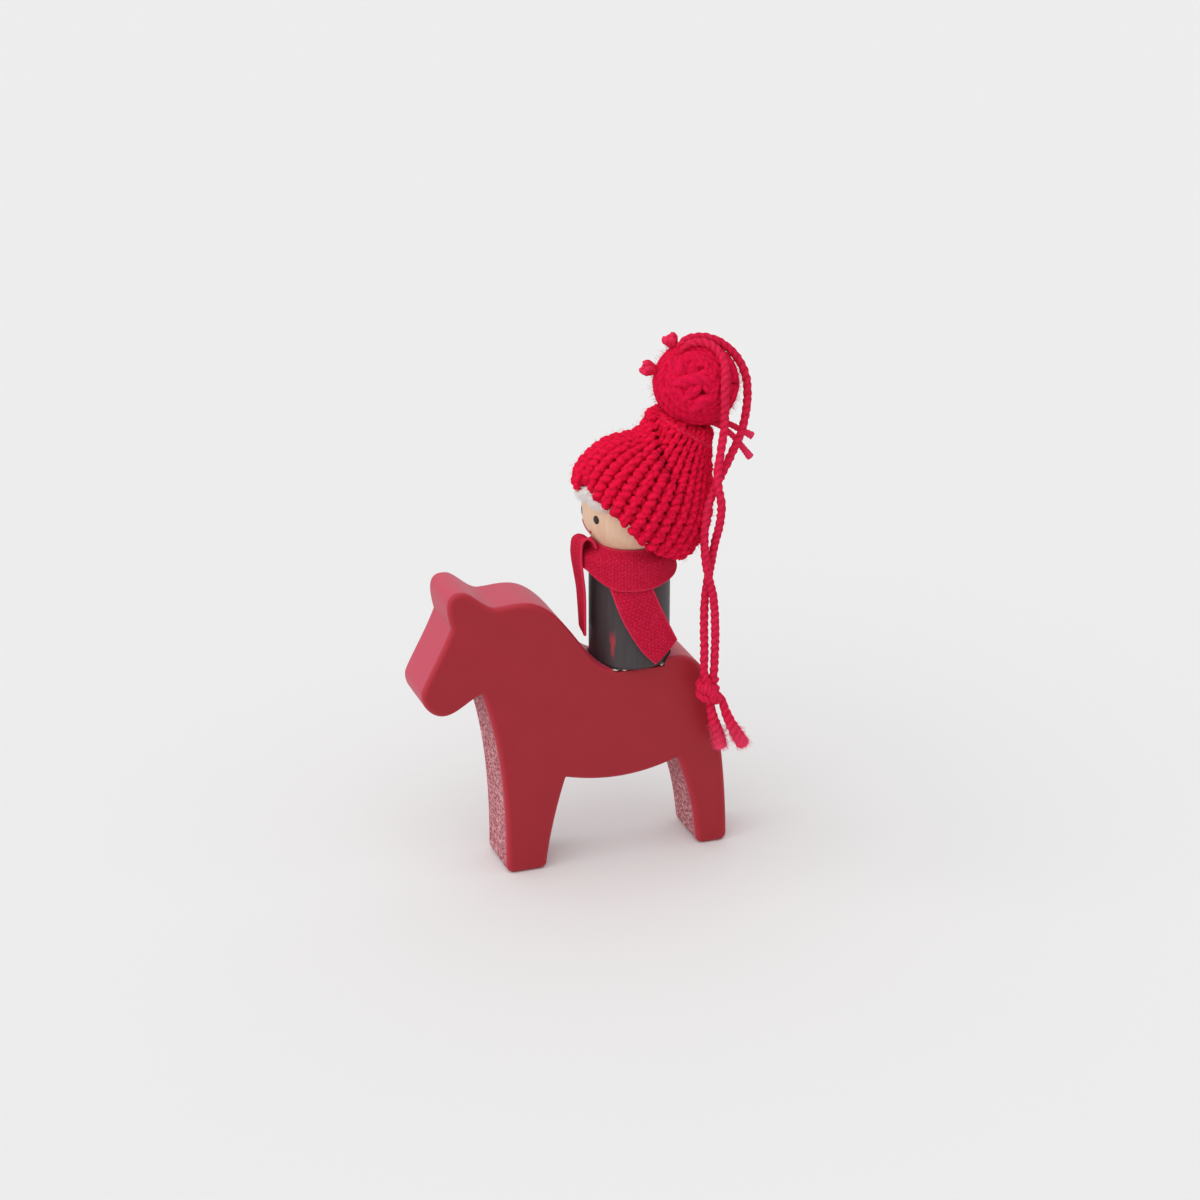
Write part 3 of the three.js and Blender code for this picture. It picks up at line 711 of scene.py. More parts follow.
@dataclass(frozen=True)
class Plain:
    """A thin even coat, such as brush paint, dried glue or carded fleece."""

    # Gives the eye one tone with a faint mottle and a slightly uneven surface
    name: str
    colour: str
    mottle: str
    roughness: float
    patch: float = 0.8
    through: float = 0.0

    def material(self) -> Material:
        """Build the coat.

        Returns:
            A material mottled at the size of patch; through is the share of light that it
            lets in.
        """
        tree, place = open_material(self.name)
        spots = add(tree, "ShaderNodeTexNoise", {
            "Vector": place, "Scale": per_mm(self.patch), "Detail": 3.0})
        colour = add(tree, "ShaderNodeMix", {
            0: spots, 6: linear(self.colour), 7: linear(self.mottle)}, data_type="RGBA")
        bump = add(tree, "ShaderNodeBump", {
            "Strength": 0.2, "Distance": 0.05 * MM, "Height": spots})
        return close_material(self.name, tree, {
            "Base Color": colour, "Normal": bump, "Roughness": self.roughness,
            "Subsurface Weight": self.through, "Subsurface Scale": 1 * MM})


# Stain that went on thin: near black, with the grain still showing and one red chip
PEG_STAIN = Wood("charcoal stain on birch", "#3F3739", "#322B2E", 0.9, 0.2, 0.55, "#A02838")
# Sanded and left bare: pale, warm and quite even
BARE_BIRCH = Wood("bare turned birch", "#E8C6AB", "#DCB596", 1.3, 0.25, 0.5)
# Glossy cream beads that let some light in
GLUE = Plain("dried wood glue", "#E6E0D6", "#CFC6B8", 0.25, 0.5, 0.3)
# Small shiny dots
EYE_PAINT = Plain("black brush paint", "#1E1618", "#2A2022", 0.3)
# A thin dull line
LIP_PAINT = Plain("red brush paint", "#B22A34", "#9E222C", 0.45)
# White and matt, soft at its edge
FLEECE = Plain("carded white fleece", "#FFFDFC", "#F8F5F2", 0.95, 0.5)
# Hard twist: slanting dark grooves all along
LOOP_YARN = Yarn("twisted acrylic yarn", "#E4204A", "#C8163C", "#EE3E66")
# Fibres combed out of their twist: paler and pinker
FLUFF = Yarn("brushed yarn ends", "#F04A70", "#E03A60", "#F67694")
# Soft and full: the brightest red of the figure
KNIT_YARN = Yarn("knitted acrylic yarn", "#F01042", "#D00A36", "#F82850")
# Always in the shade of the loops: dark
KNIT_BACK = Yarn("back of the knit", "#A00C2C", "#80081F", "#B01438")
# Pulled tight round the gather: smoother than the knit
TIE_YARN = Yarn("tie strand", "#E61A46", "#C01038", "#F04468")
# Laid turn beside turn: fine dark lines between bright strands
BALL_YARN = Yarn("wound acrylic yarn", "#E20E40", "#C60A36", "#EA2A54")
# Deep inside the ball: dark between the strands
CORE_YARN = Yarn("yarn in the shade", "#A00A2C", "#80061F", "#B01236")
# Loose thick loops: round soft crowns
FAT_YARN = Yarn("fat loose yarn", "#E40E42", "#CA0A38", "#EC2C56")
# Cut across: paler, because the fibres spread at the end
CUT_YARN = Yarn("cut yarn ends", "#E8204C", "#D0143E", "#F03E64")


class Weaver:
    """Makes yarn, fibre and tape pieces, and keeps the node trees that they share."""

    selvedge_width: float = 0.26
    selvedge_tint: float = 0.4

    def __init__(self) -> None:
        """Build the two shared node trees."""
        self.yarn_nodes = yarn_tree()
        self.fibre_nodes = fibre_tree()

    @staticmethod
    def bake(host: Piece, tree: Tree, values: dict) -> Piece:
        """Run a geometry node tree on a host mesh and keep the result as its plain mesh.

        Args:
            host: object whose mesh goes into the tree.
            tree: geometry node tree with named inputs.
            values: value of each named input.

        Returns:
            The host, now holding the finished mesh.
        """
        modifier = host.modifiers.new("nodes", "NODES")
        modifier.node_group = tree
        names = {item.name: item.identifier for item in tree.interface.items_tree
                 if item.in_out == "INPUT"}
        for name, value in values.items():
            modifier[names[name]] = value
        settle(host)
        return host

    def yarn(self, name: str, lines: Sequence[np.ndarray], radius: float, material: Material,
             thick: Sequence[np.ndarray] | None = None,
             pale: Sequence[np.ndarray] | None = None, closed: bool = False, sides: int = 9,
             plies: int = 3, depth: float = 0.12, lay: float = 4.0, fuzz: float = 0.12,
             fuzz_size: float = 0.6) -> Piece:
        """Make one piece of plied yarn along one or more lines.

        Args:
            name: name of the piece.
            lines: points of each line in millimetres.
            radius: half the yarn's full thickness.
            material: finish of the yarn.
            thick: share of the full thickness at each point of each line.
            pale: how far each point of each line is frayed to a paler tone.
            closed: whether each line joins its own start.
            sides: points round the yarn.
            plies: number of plies twisted together.
            depth: depth of the grooves as a share of the radius.
            lay: length of one turn of the twist.
            fuzz: height of the uneven surface.
            fuzz_size: size of one unevenness.

        Returns:
            The yarn as a plain mesh.
        """
        edges, first = [], 0
        for line in lines:
            run = np.arange(first, first + len(line))
            pairs = np.column_stack([run, np.roll(run, -1)])
            edges.append(pairs if closed else pairs[:-1])
            first += len(line)
        host = new_piece(name, np.vstack(lines), [], material, np.vstack(edges))
        set_attribute(host, "thick", np.ones(first) if thick is None else np.concatenate(thick))
        if pale is not None:
            set_attribute(host, "pale", np.concatenate(pale))
        return self.bake(host, self.yarn_nodes, {
            "Radius": radius * MM, "Sides": sides, "Plies": plies, "Ply Depth": depth,
            "Turns": per_mm(lay), "Fuzz": fuzz * MM, "Fuzz Size": fuzz_size * MM,
            "Seed": float(SEED), "Material": material})

    def fibres(self, name: str, surface: Piece, material: Material, per_mm2: float,
               length: float, thickness: float = 0.05, spread: float = 0.9, lift: float = 1.0,
               fall: Point = (0, 0, 0)) -> Piece:
        """Grow loose fibres from the surface of a finished piece.

        Real fibres are a few hundredths of a millimetre thick, which doesn't show, so these are
        thicker and fewer.

        Args:
            name: name of the new piece.
            surface: piece that they grow from.
            material: finish of the fibres.
            per_mm2: fibres on a square millimetre.
            length: longest fibre.
            thickness: half the thickness of a fibre at its root.
            spread: how far a fibre strays, in radians.
            lift: share of the surface's normal in a fibre's direction.
            fall: direction that is added to it.

        Returns:
            All fibres as one plain mesh.
        """
        host = bpy.data.objects.new(name, surface.data.copy())
        bpy.context.scene.collection.objects.link(host)
        return self.bake(host, self.fibre_nodes, {
            "Density": per_mm2 / MM ** 2, "Length": length * MM, "Thickness": thickness * MM,
            "Spread": spread, "Lift": lift, "Fall": Vector(fall), "Seed": SEED,
            "Material": material})

    @staticmethod
    def weave(along: np.ndarray, across: np.ndarray, pitch: Pair) -> np.ndarray:
        """Height of a plain weave, 0 between threads and 1 on a crown.

        Args:
            along: place along the tape in millimetres.
            across: place across it.
            pitch: distance between threads along the tape and across it.

        Returns:
            Height at each place.
        """
        a, b = along / pitch[0], across / pitch[1]
        over = (np.floor(a) + np.floor(b)) % 2
        ca, cb = (np.abs(np.sin(math.pi * k)) ** 0.6 for k in (a, b))
        warp = cb * (0.45 + 0.55 * ca)
        weft = 0.55 * ca * (0.45 + 0.55 * cb)
        return np.where(over > 0.5, warp, weft)

    def tape(self, name: str, middle: np.ndarray, along: np.ndarray, across: np.ndarray,
             thickness: float, material: Material, pitch: Pair, relief: float,
             ring: bool = False) -> Piece:
        """Make a woven tape over a grid of points.

        Args:
            name: name of the piece.
            middle: points of the tape's middle layer, rows along it and columns across it.
            along: length along the tape at each point.
            across: length across the tape at each point.
            thickness: thickness of the tape without the relief.
            material: finish of the tape.
            pitch: distance between threads along the tape and across it.
            relief: height of the threads.
            ring: whether the last row joins the first.

        Returns:
            A closed tape with real threads on both faces.
        """
        ahead = np.gradient(middle, axis=0)
        if ring:
            ahead[0] = ahead[-1] = middle[1] - middle[-2]
        normal = np.cross(ahead, np.gradient(middle, axis=1))
        normal /= np.linalg.norm(normal, axis=2, keepdims=True)
        # The selvedge on both sides is a plain thick thread
        margin = np.minimum(across - across.min(1, keepdims=True),
                            across.max(1, keepdims=True) - across)
        selvedge = bell(margin, 0, self.selvedge_width)
        height = np.maximum(self.weave(along, across, pitch), 0.95 * selvedge)
        out = middle + normal * (thickness / 2 + relief * (height - 0.5))[..., None]
        back = middle - normal * (thickness / 2 + relief * (0.5 - height) * 0.8)[..., None]
        points = np.vstack([out.reshape(-1, 3), back.reshape(-1, 3)])
        piece = new_piece(name, points, shell_faces(*along.shape, ring), material)
        # weave is the threads' height, which the tape's material also uses to paint shade between
        # the threads
        for kind, values in (("weave", height), ("selvedge", self.selvedge_tint * selvedge)):
            set_attribute(piece, kind, np.concatenate([values.ravel(), values.ravel()]))
        return face_outwards(piece)


@dataclass
class Horse:
    """Horse sawn from board, with a flat seat cut across its back."""

    thickness: float = 15.0
    edge_round: float = 1.2
    foot_round: float = 2.0
    leg_height: float = 20.2
    body_depth: float = 26.7
    neck_rise: float = 18.9
    ear_rise: float = 4.4
    rump_rise: float = 1.4
    nose_x: float = -40.4
    poll_x: float = -23.0
    fore_toe_x: float = -21.2
    fore_heel_x: float = -11.5
    hind_toe_x: float = 25.0
    hind_heel_x: float = 32.5
    seat_x: float = 10.7
    seat_depth: float = 0.5
    seat_radius: float = 9.5
    chest_top: float = 44.0
    step: float = 0.45
    rows: int = 22
    roughness: float = 0.16
    wear: float = 0.3
    sharp_angle: float = 38.0

    @property
    def saddle_z(self) -> float:
        """Height of the saddle over the ground."""
        return self.leg_height + self.body_depth

    @property
    def seat_z(self) -> float:
        """Height of the seat that is cut in the saddle."""
        return self.saddle_z - self.seat_depth

    def outline(self) -> np.ndarray:
        """Sample the outline in (x, z), from the foreleg's toe up the chest and round.

        Returns:
            Points of the closed outline.
        """
        fr, leg, top = self.foot_round, self.leg_height, self.saddle_z
        poll = (self.poll_x, top + self.neck_rise)
        rump_z = top + self.rump_rise
        throat = (poll[0] - 3.6, poll[1] - 20.4)
        chin = (poll[0] - 12.3, poll[1] - 24.5)
        nose = (self.nose_x, poll[1] - 18.1)
        ear = (poll[0] - 10.4, poll[1] - 3.7)
        tip = (poll[0] - 7.2, poll[1] + self.ear_rise)
        crest = (poll[0] + 7.5, poll[1])
        withers = (self.seat_x - 12.5, top + 5.3)
        saddle = (self.seat_x - 2.7, top)
        rump = (self.seat_x + 8.8, rump_z)
        thigh = (self.hind_heel_x - 3.9, rump_z - 10.3)
        stifle = (self.hind_toe_x - 5, leg + 2.6)
        elbow = (self.fore_heel_x + 4.6, leg + 1.8)
        toe, heel = self.fore_toe_x, self.fore_heel_x
        toe2, heel2 = self.hind_toe_x, self.hind_heel_x
        # Each run is a cubic: its start, two handles and its end
        runs = [
            ((toe, fr), (toe + 0.2, leg), (toe - 1.4, throat[1] - 11.4), throat),
            (throat, (throat[0] - 2.9, throat[1] - 1), (chin[0] + 3, chin[1]), chin),
            (chin, (chin[0] - 2.9, chin[1]), (nose[0] - 0.5, nose[1] - 3.1), nose),
            (nose, (nose[0] + 1, nose[1] + 2.9), (ear[0] - 2.2, ear[1] - 5.6), ear),
            (ear, (ear[0] - 0.9, ear[1] + 3.9), (tip[0] - 5.2, tip[1] + 1), tip),
            (tip, (tip[0] + 2.4, tip[1] - 0.8), (poll[0] - 2.6, poll[1] + 0.1), poll),
            (poll, (poll[0] + 3.2, poll[1]), (crest[0] - 3.1, crest[1] + 0.5), crest),
            (crest, (crest[0] + 5, crest[1] - 1), (withers[0] - 5, withers[1] + 7.4), withers),
            (withers, (withers[0] + 2.2, withers[1] - 3.3), (saddle[0] - 5.4, top), saddle),
            (saddle, (saddle[0] + 4.5, top), (rump[0] - 4, rump_z), rump),
            (rump, (rump[0] + 4.7, rump_z), (thigh[0] - 1.6, thigh[1] + 6.5), thigh),
            (thigh, (thigh[0] + 1.8, thigh[1] - 7.5), (heel2 - 0.3, 16), (heel2, fr)),
            *self.foot(heel2, toe2),
            ((toe2, fr), (toe2 - 0.7, 8), (toe2 - 1.4, leg - 6.2), stifle),
            (stifle, (stifle[0] - 7.5, leg), (elbow[0] + 10.9, leg - 1.2), elbow),
            (elbow, (elbow[0] - 1.7, elbow[1] - 5.5), (heel + 1.1, leg / 2), (heel, fr)),
            *self.foot(heel, toe),
        ]
        points = []
        for a, b, c, d in np.asarray(runs, float):
            count = max(5, round(np.linalg.norm(d - a) / self.step))
            t = np.linspace(0, 1, count, endpoint=False)[:, None]
            points.append((1 - t) ** 3 * a + 3 * t * (1 - t) ** 2 * b
                          + 3 * t * t * (1 - t) * c + t ** 3 * d)
        return np.vstack(points)

    def foot(self, heel: float, toe: float) -> list[tuple[Pair, Pair, Pair, Pair]]:
        """Runs of the outline under one foot: a round corner, the flat sole, the other corner."""
        fr = self.foot_round
        return [
            ((heel, fr), (heel, fr / 3), (heel - fr / 3, 0), (heel - fr, 0)),
            ((heel - fr, 0), (heel - fr, 0), (toe + fr, 0), (toe + fr, 0)),
            ((toe + fr, 0), (toe + fr / 3, 0), (toe, fr / 3), (toe, fr)),
        ]

    def rough_share(self, points: np.ndarray) -> np.ndarray:
        """Share of saw roughness: the chest, the leg fronts and the belly keep their saw marks.

        Args:
            points: corners of the board in millimetres.

        Returns:
            A share from 0 to 1 for each corner.
        """
        x, y, z = points.T
        inside = np.clip((self.thickness / 2 - self.edge_round - np.abs(y)) / 0.5, 0, 1)
        low = z < self.leg_height + 3
        chest = (x < self.poll_x + 4) & (z < self.chest_top) & (x > self.poll_x - 4.2)
        between = low & (x > self.fore_heel_x - 1) & (x < self.hind_toe_x + 1.5)
        return inside * (chest | between)

    def build(self, finish: Lacquer) -> None:
        """Extrude the outline with rounded edges, cut the seat and roughen the sawn faces.

        Args:
            finish: the lacquer.
        """
        outline = self.outline()
        ahead = np.roll(outline, -1, axis=0) - np.roll(outline, 1, axis=0)
        ahead /= np.linalg.norm(ahead, axis=1, keepdims=True)
        inward = np.column_stack([ahead[:, 1], -ahead[:, 0]])
        half, r = self.thickness / 2, self.edge_round
        turn = np.linspace(math.pi / 2, 0, 7)
        near = [(r * (1 - math.cos(t)), -(half - r + r * math.sin(t))) for t in turn]
        flat = [(0.0, y) for y in np.linspace(-(half - r), half - r, self.rows + 1)[1:-1]]
        rings = []
        for inset, y in [*near, *flat, *[(i, -y) for i, y in near[::-1]]]:
            line = outline + inward * inset
            rings.append(np.column_stack([line[:, 0], np.full(len(line), y), line[:, 1]]))
        count = len(outline)
        last = (len(rings) - 1) * count
        faces = [*grid_faces(len(rings), count, True), range(count),
                 range(last + count - 1, last - 1, -1)]
        board = face_outwards(new_piece("horse", np.vstack(rings), faces, finish.material()))
        self.cut_seat(board)
        points = corners(board)
        share = self.rough_share(points)
        rng = np.random.default_rng(SEED)
        points[:, 0] += self.roughness * share * rng.normal(0, 0.5, len(points))
        board.data.vertices.foreach_set("co", (points * MM).ravel())
        rim = np.clip((np.abs(points[:, 1]) - (half - r)) / r, 0, 1)
        set_attribute(board, "sawn", share)
        set_attribute(board, "worn", self.wear * np.sin(2 * np.arcsin(rim)))
        # rim is 1 on the edge faces, which the lacquer paints paler as painted highlight
        set_attribute(board, "rim", (1 - rim) ** 2)
        board.data.set_sharp_from_angle(angle=math.radians(self.sharp_angle))
        dress(board, Body.FIGURE, Slot.HORSE_PAINT, "horse_board")

    def cut_seat(self, board: Piece) -> None:
        """Cut the round seat for the peg down into the saddle.

        Args:
            board: the horse.
        """
        r, height = self.seat_radius, 20.0
        tool = turned("seat_tool", [(0, 0), (r, 0), (r, height), (0, height)], 96,
                      (self.seat_x, 0, self.seat_z), board.data.materials[0])
        cut = board.modifiers.new("seat", "BOOLEAN")
        cut.object = tool
        cut.operation = "DIFFERENCE"
        cut.solver = "EXACT"
        settle(board)
        bpy.data.objects.remove(tool)


@dataclass
class Rider:
    """Turned peg body and ball head of the gnome, with its painted face and its glue."""

    weaver: Weaver
    x: float = 10.7
    seat_z: float = 46.4
    glue_film: float = 0.5
    peg_radius: float = 9.2
    peg_height: float = 26.1
    chamfer: float = 0.7
    shoulder: float = 1.6
    bore: float = 2.8
    bore_depth: float = 8.3
    head_radius: float = 10.8
    head_flat: float = 0.85
    head_bore_depth: float = 7.3
    sharp_angle: float = 40.0
    eye_angles: Pair = (26.8, -11.5)
    eye_height: float = -1.2
    eye_size: Pair = (0.88, 1.02)
    smile: tuple[Pair, ...] = ((-14, -14.5), (-7.5, -18.6), (-2.2, -22.6), (4.0, -24.0),
                               (10.8, -22.2))
    smile_width: float = 0.22
    smile_end: float = 0.42
    chip_angle: float = 226.5
    chip_foot: float = 2.0
    chip_top: float = 9.6
    chip_width: float = 0.68
    # Angle round the peg and size of each bead of glue
    beads: tuple[Pair, ...] = (
        (215.0, 0.34), (220.0, 0.24), (228.5, 0.3), (232.0, 0.2), (243.0, 0.32),
        (247.5, 0.22), (131.0, 0.3), (118.0, 0.26), (64.0, 0.3), (305.0, 0.26))
    bead_shape: Point = (1.0, 1.6, 0.55)
    bead_limit: float = 7.4

    @property
    def peg_bottom(self) -> float:
        """Height of the peg's lower end."""
        return self.seat_z + self.glue_film

    @property
    def peg_top(self) -> float:
        """Height of the peg's upper end."""
        return self.peg_bottom + self.peg_height

    @property
    def head_centre(self) -> np.ndarray:
        """Middle of the ball head."""
        return np.array([self.x, 0.0, self.peg_top + self.head_radius - self.head_flat])

    def build_peg(self, finish: Wood) -> None:
        """Turn the peg, with its chamfer, round shoulder and dowel hole, and mark the chip.

        Args:
            finish: stain of the peg.
        """
        r, h, s, c = self.peg_radius, self.peg_height, self.shoulder, self.chamfer
        side = [(r, z) for z in np.linspace(c + 0.15, h - s, 60)]
        crown = [(r - s * (1 - math.cos(a)), h - s * (1 - math.sin(a)))
                 for a in np.linspace(0, math.pi / 2, 9)[1:]]
        floor = h - self.bore_depth
        profile = [(0, 0), (r - c, 0), (r - c + 0.1, 0.05), (r - 0.08, c - 0.05), *side, *crown,
                   (self.bore, h), (self.bore, floor), (0, floor)]
        peg = turned("gnome_peg", profile, 160, (self.x, 0, self.peg_bottom), finish.material())
        x, y, z = corners(peg).T
        angle = np.degrees(np.arctan2(y, x - self.x)) % 360
        across = np.abs(angle - self.chip_angle) * math.pi / 180 * r
        up = z - self.peg_bottom - self.chip_foot
        width = np.clip(up / 5.5, 0, 1) * self.chip_width
        inside = np.clip(up / 0.4, 0, 1)
        inside *= np.clip((self.chip_top - self.chip_foot - up) / 2.6, 0, 1)
        set_attribute(peg, "chip", np.clip((width - across) / 0.18 + 0.5, 0, 1) * inside)
        peg.data.set_sharp_from_angle(angle=math.radians(self.sharp_angle))
        dress(peg, Body.FIGURE, Slot.PEG_PAINT, "rider_peg")

    def build_head(self, finish: Wood) -> None:
        """Turn the ball head with its flat and its dowel hole, and finish the dowel.

        Args:
            finish: bare wood of the head and of the dowel.
        """
        r = self.head_radius
        flat = self.head_flat - r
        ball = [(r * math.cos(a), r * math.sin(a))
                for a in np.linspace(math.asin(flat / r), math.pi / 2, 64)[:-1]]
        ceiling = flat + self.head_bore_depth
        profile = [(0, ceiling), (self.bore, ceiling), (self.bore, flat), *ball, (0, r)]
        wood = finish.material()
        head = turned("gnome_head", profile, 128, self.head_centre, wood)
        head.data.set_sharp_from_angle(angle=math.radians(self.sharp_angle))
        dress(head, Body.FIGURE, Slot.BARE_WOOD, "head_ball")
        self.refinish("neck_dowel", wood)

    @staticmethod
    def refinish(node: str, material: Material) -> None:
        """Give its finish to a solid of the part that no piece replaces."""
        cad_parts[node].data.materials.clear()
        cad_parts[node].data.materials.append(material)

    def on_face(self, angle: np.ndarray, height: np.ndarray, lift: float) -> np.ndarray:
        """Points on the ball.

        Args:
            angle: degrees from the front of the face, positive to the near side.
            height: degrees over the ball's equator.
            lift: distance off the wood.

        Returns:
            Points in millimetres.
        """
        a, e = np.radians(angle), np.radians(height)
        out = np.stack([-np.cos(e) * np.cos(a), -np.cos(e) * np.sin(a), np.sin(e) + 0 * a], -1)
        return self.head_centre + out * (self.head_radius + lift)

    def dot(self, name: str, angle: float, height: float, size: Pair, material: Material,
            slot: Slot) -> None:
        """Lay a small domed dot of paint on the face.

        Args:
            name: name of the dot.
            angle: degrees from the front of the face.
            height: degrees over the equator.
            size: half its width and half its height in millimetres.
            material: the paint.
            slot: slot of the paint.
        """
        count = 32
        turn = np.linspace(0, FULL_TURN, count, endpoint=False)
        per_degree = math.pi / 180 * self.head_radius
        # Share of the dot's size and distance off the wood of each ring, from its rim inwards
        dome = ((1.0, -0.05), (1.0, 0.02), (0.93, 0.05), (0.6, 0.08), (0.3, 0.09), (0.02, 0.09))
        rings = [self.on_face(angle + share * size[0] * np.cos(turn) / per_degree,
                              height + share * size[1] * np.sin(turn) / per_degree, lift)
                 for share, lift in dome]
        last = (len(rings) - 1) * count
        faces = [*grid_faces(len(rings), count, True), range(count - 1, -1, -1),
                 range(last, last + count)]
        spot = face_outwards(new_piece(name, np.vstack(rings), faces, material))
        dress(spot, Body.FIGURE, slot)

    def build_face(self, eye: Plain, lip: Plain) -> None:
        """Paint two eyes and a thin smile with a dot at each end.

        Args:
            eye: paint of the eyes.
            lip: paint of the mouth.
        """
        black, red = eye.material(), lip.material()
        for side, angle in zip(("near", "far"), self.eye_angles):
            self.dot(f"eye_{side}", angle, self.eye_height, self.eye_size, black, Slot.PEG_PAINT)
        route = smooth_line([(angle, height, 0) for angle, height in self.smile], 1.0)
        line = self.on_face(route[:, 0], route[:, 1], 0.0)
        smile = self.weaver.yarn(
            "smile", [line], self.smile_width, red, plies=1, depth=0.0, fuzz=0.0, sides=10)
        dress(smile, Body.FIGURE, Slot.HORSE_PAINT)
        for side, end in (("far", self.smile[0]), ("near", self.smile[-1])):
            self.dot(f"smile_end_{side}", *end, (self.smile_end, self.smile_end), red,
                     Slot.HORSE_PAINT)

    def build_glue(self, finish: Plain) -> None:
        """Finish the glue film and add the beads that were squeezed out round the peg.

        Args:
            finish: the dried glue.
        """
        glue = finish.material()
        self.refinish("seat_glue", glue)
        rng = np.random.default_rng(SEED)
        ball, ball_faces = ball_mesh(3)
        points, faces = [], []
        for number, (angle, size) in enumerate(self.beads):
            a = math.radians(angle)
            xyz = ball * (1 + 0.18 * np.sin(5 * ball[:, :1] + angle) * np.cos(4 * ball[:, 1:2]))
            xyz *= size * np.array(self.bead_shape) * rng.uniform(0.85, 1.15, 3)
            spin = np.array([[math.cos(a), -math.sin(a), 0], [math.sin(a), math.cos(a), 0],
                             [0, 0, 1]])
            reach = min(self.peg_radius - 0.2, self.bead_limit / max(0.2, abs(math.sin(a))))
            place = [self.x + reach * math.cos(a), reach * math.sin(a), self.peg_bottom - 0.05]
            points.append(xyz @ spin.T + place)
            faces += [[corner + number * len(ball) for corner in face] for face in ball_faces]
        dress(new_piece("glue_beads", np.vstack(points), faces, glue), Body.FIGURE, Slot.GLUE)


@dataclass
class Cap:
    """Knitted cap that leans back on the head, with a fleece fringe under its front."""

    weaver: Weaver
    origin: np.ndarray
    head_radius: float
    tilt: float = 36.0
    brim_height: float = -3.2
    brim_wave: float = 1.2
    height: float = 22.0
    brim_radius: float = 16.2
    bulge: float = 1.2
    bulge_height: float = 5.9
    shoulder_radius: float = 13.0
    shoulder_height: float = 12.1
    neck_radius: float = 5.6
    slack: float = 2.2
    back_lift: float = 0.9
    tuck: float = 1.3
    back_tuck: float = 1.7
    dent: float = 1.7
    fold: float = 1.6
    gather_lift: float = 2.2
    side_drop: float = 1.8
    back_hollow: float = 0.9
    notch: float = 1.9
    lobe: float = 1.5
    wales: int = 17
    courses: int = 12
    yarn_radius: float = 0.98
    loop_width: float = 1.08
    loop_depth: float = 0.62
    loop_height: float = 0.86
    steps: int = 18
    inset: float = 0.55
    lining_depths: Pair = (-1.35, -2.3)
    tie_radius: float = 0.62
    tie_share: float = 0.955
    # Angle from the front and height of the fringe's lower edge
    fringe_edge: tuple[Pair, ...] = ((-34, -2.4), (-20, -3.2), (-5, -3.9), (12, -3.3),
                                     (25, -3.2), (39, -2.6), (45, -2.2))
    fringe_span: Pair = (-34, 42)
    fringe_swell: float = 1.6

    def to_world(self, points: np.ndarray) -> np.ndarray:
        """Turn points from the cap's own frame into the part's frame.

        Args:
            points: points from the middle of the head, with the cap's axis along Z.

        Returns:
            The same points, tilted and in place.
        """
        a = math.radians(self.tilt)
        x = points[..., 0] * math.cos(a) + points[..., 2] * math.sin(a)
        z = -points[..., 0] * math.sin(a) + points[..., 2] * math.cos(a)
        return np.stack([x, points[..., 1], z], -1) + self.origin

    def back_share(self, angle: np.ndarray) -> np.ndarray:
        """Share of the back of the cap at an angle, 1 at the back and 0 at the front."""
        return (0.5 + 0.5 * np.cos(angle)) ** 2

    def brim(self, angle: np.ndarray) -> np.ndarray:
        """Rise of the brim, with a notch and a lobe at the front and a drop on both sides.

        Args:
            angle: angle round the cap; 0 is its back and pi its front.

        Returns:
            Height over the plain brim in millimetres.
        """
        sides = bell(np.abs(angle - math.pi), 0.49 * math.pi, 0.5)
        return (-self.brim_wave * np.cos(angle) + self.back_lift * self.back_share(angle)
                + self.notch * bell(angle, math.pi + 0.15, 0.16)
                - self.lobe * bell(angle, math.pi - 0.14, 0.18) - self.side_drop * sides)

    def surface(self, angle: np.ndarray, share: np.ndarray) -> np.ndarray:
        """Points of the knitted skin in the cap's frame.

        Args:
            angle: angle round the cap.
            share: share of its height, 0 at the brim and 1 at the gather.

        Returns:
            Points in millimetres.
        """
        t = share
        a, b, c, d = (1 - t) ** 3, 3 * t * (1 - t) ** 2, 3 * t * t * (1 - t), t ** 3
        radius = (a * self.brim_radius + b * (self.brim_radius + self.bulge)
                  + c * self.shoulder_radius + d * self.neck_radius)
        height = (a * self.brim_height + b * self.bulge_height
                  + c * self.shoulder_height + d * self.height)
        front = (0.5 - 0.5 * np.cos(angle)) ** 2
        radius = radius + front * (self.fold * bell(t, 0.93, 0.07)
                                   - self.dent * bell(t, 0.72, 0.13))
        radius = radius - self.tuck * np.clip(1 - t / 0.16, 0, 1) ** 2
        hollow = self.back_tuck * np.clip(1 - t / 0.45, 0, 1) ** 2
        hollow = hollow + self.back_hollow * bell(t, 0.2, 0.16)
        radius = radius - self.back_share(angle) * hollow
        # A slack fold slants from the near side up to the front of the gather
        across = (np.degrees(angle) - np.interp(t, (0.55, 0.95), (272, 190))) / 11
        slack = np.clip((t - 0.5) / 0.15, 0, 1) * np.clip((1 - t) / 0.1, 0, 1)
        ridge = 0.4 * bell(across, -1.7, 1) - 0.7 * bell(across, 0, 1)
        radius = radius + self.fold * slack * ridge
        # Near the gather the skin is drawn into uneven pleats
        rise = np.clip((t - 0.65) / 0.35, 0, 1) ** 2
        radius = radius + rise * (0.45 * np.sin(5 * angle + 1) + 0.3 * np.sin(8 * angle))
        height = height + self.brim(angle) * np.clip(1 - t, 0, 1) ** 2
        height = height + rise * (self.gather_lift * self.back_share(angle) + 0.9 * front
                                  + 0.5 * np.sin(3 * angle))
        back = self.slack * (1 - 0.7 * t)
        return np.stack([back + radius * np.cos(angle), radius * np.sin(angle), height], -1)

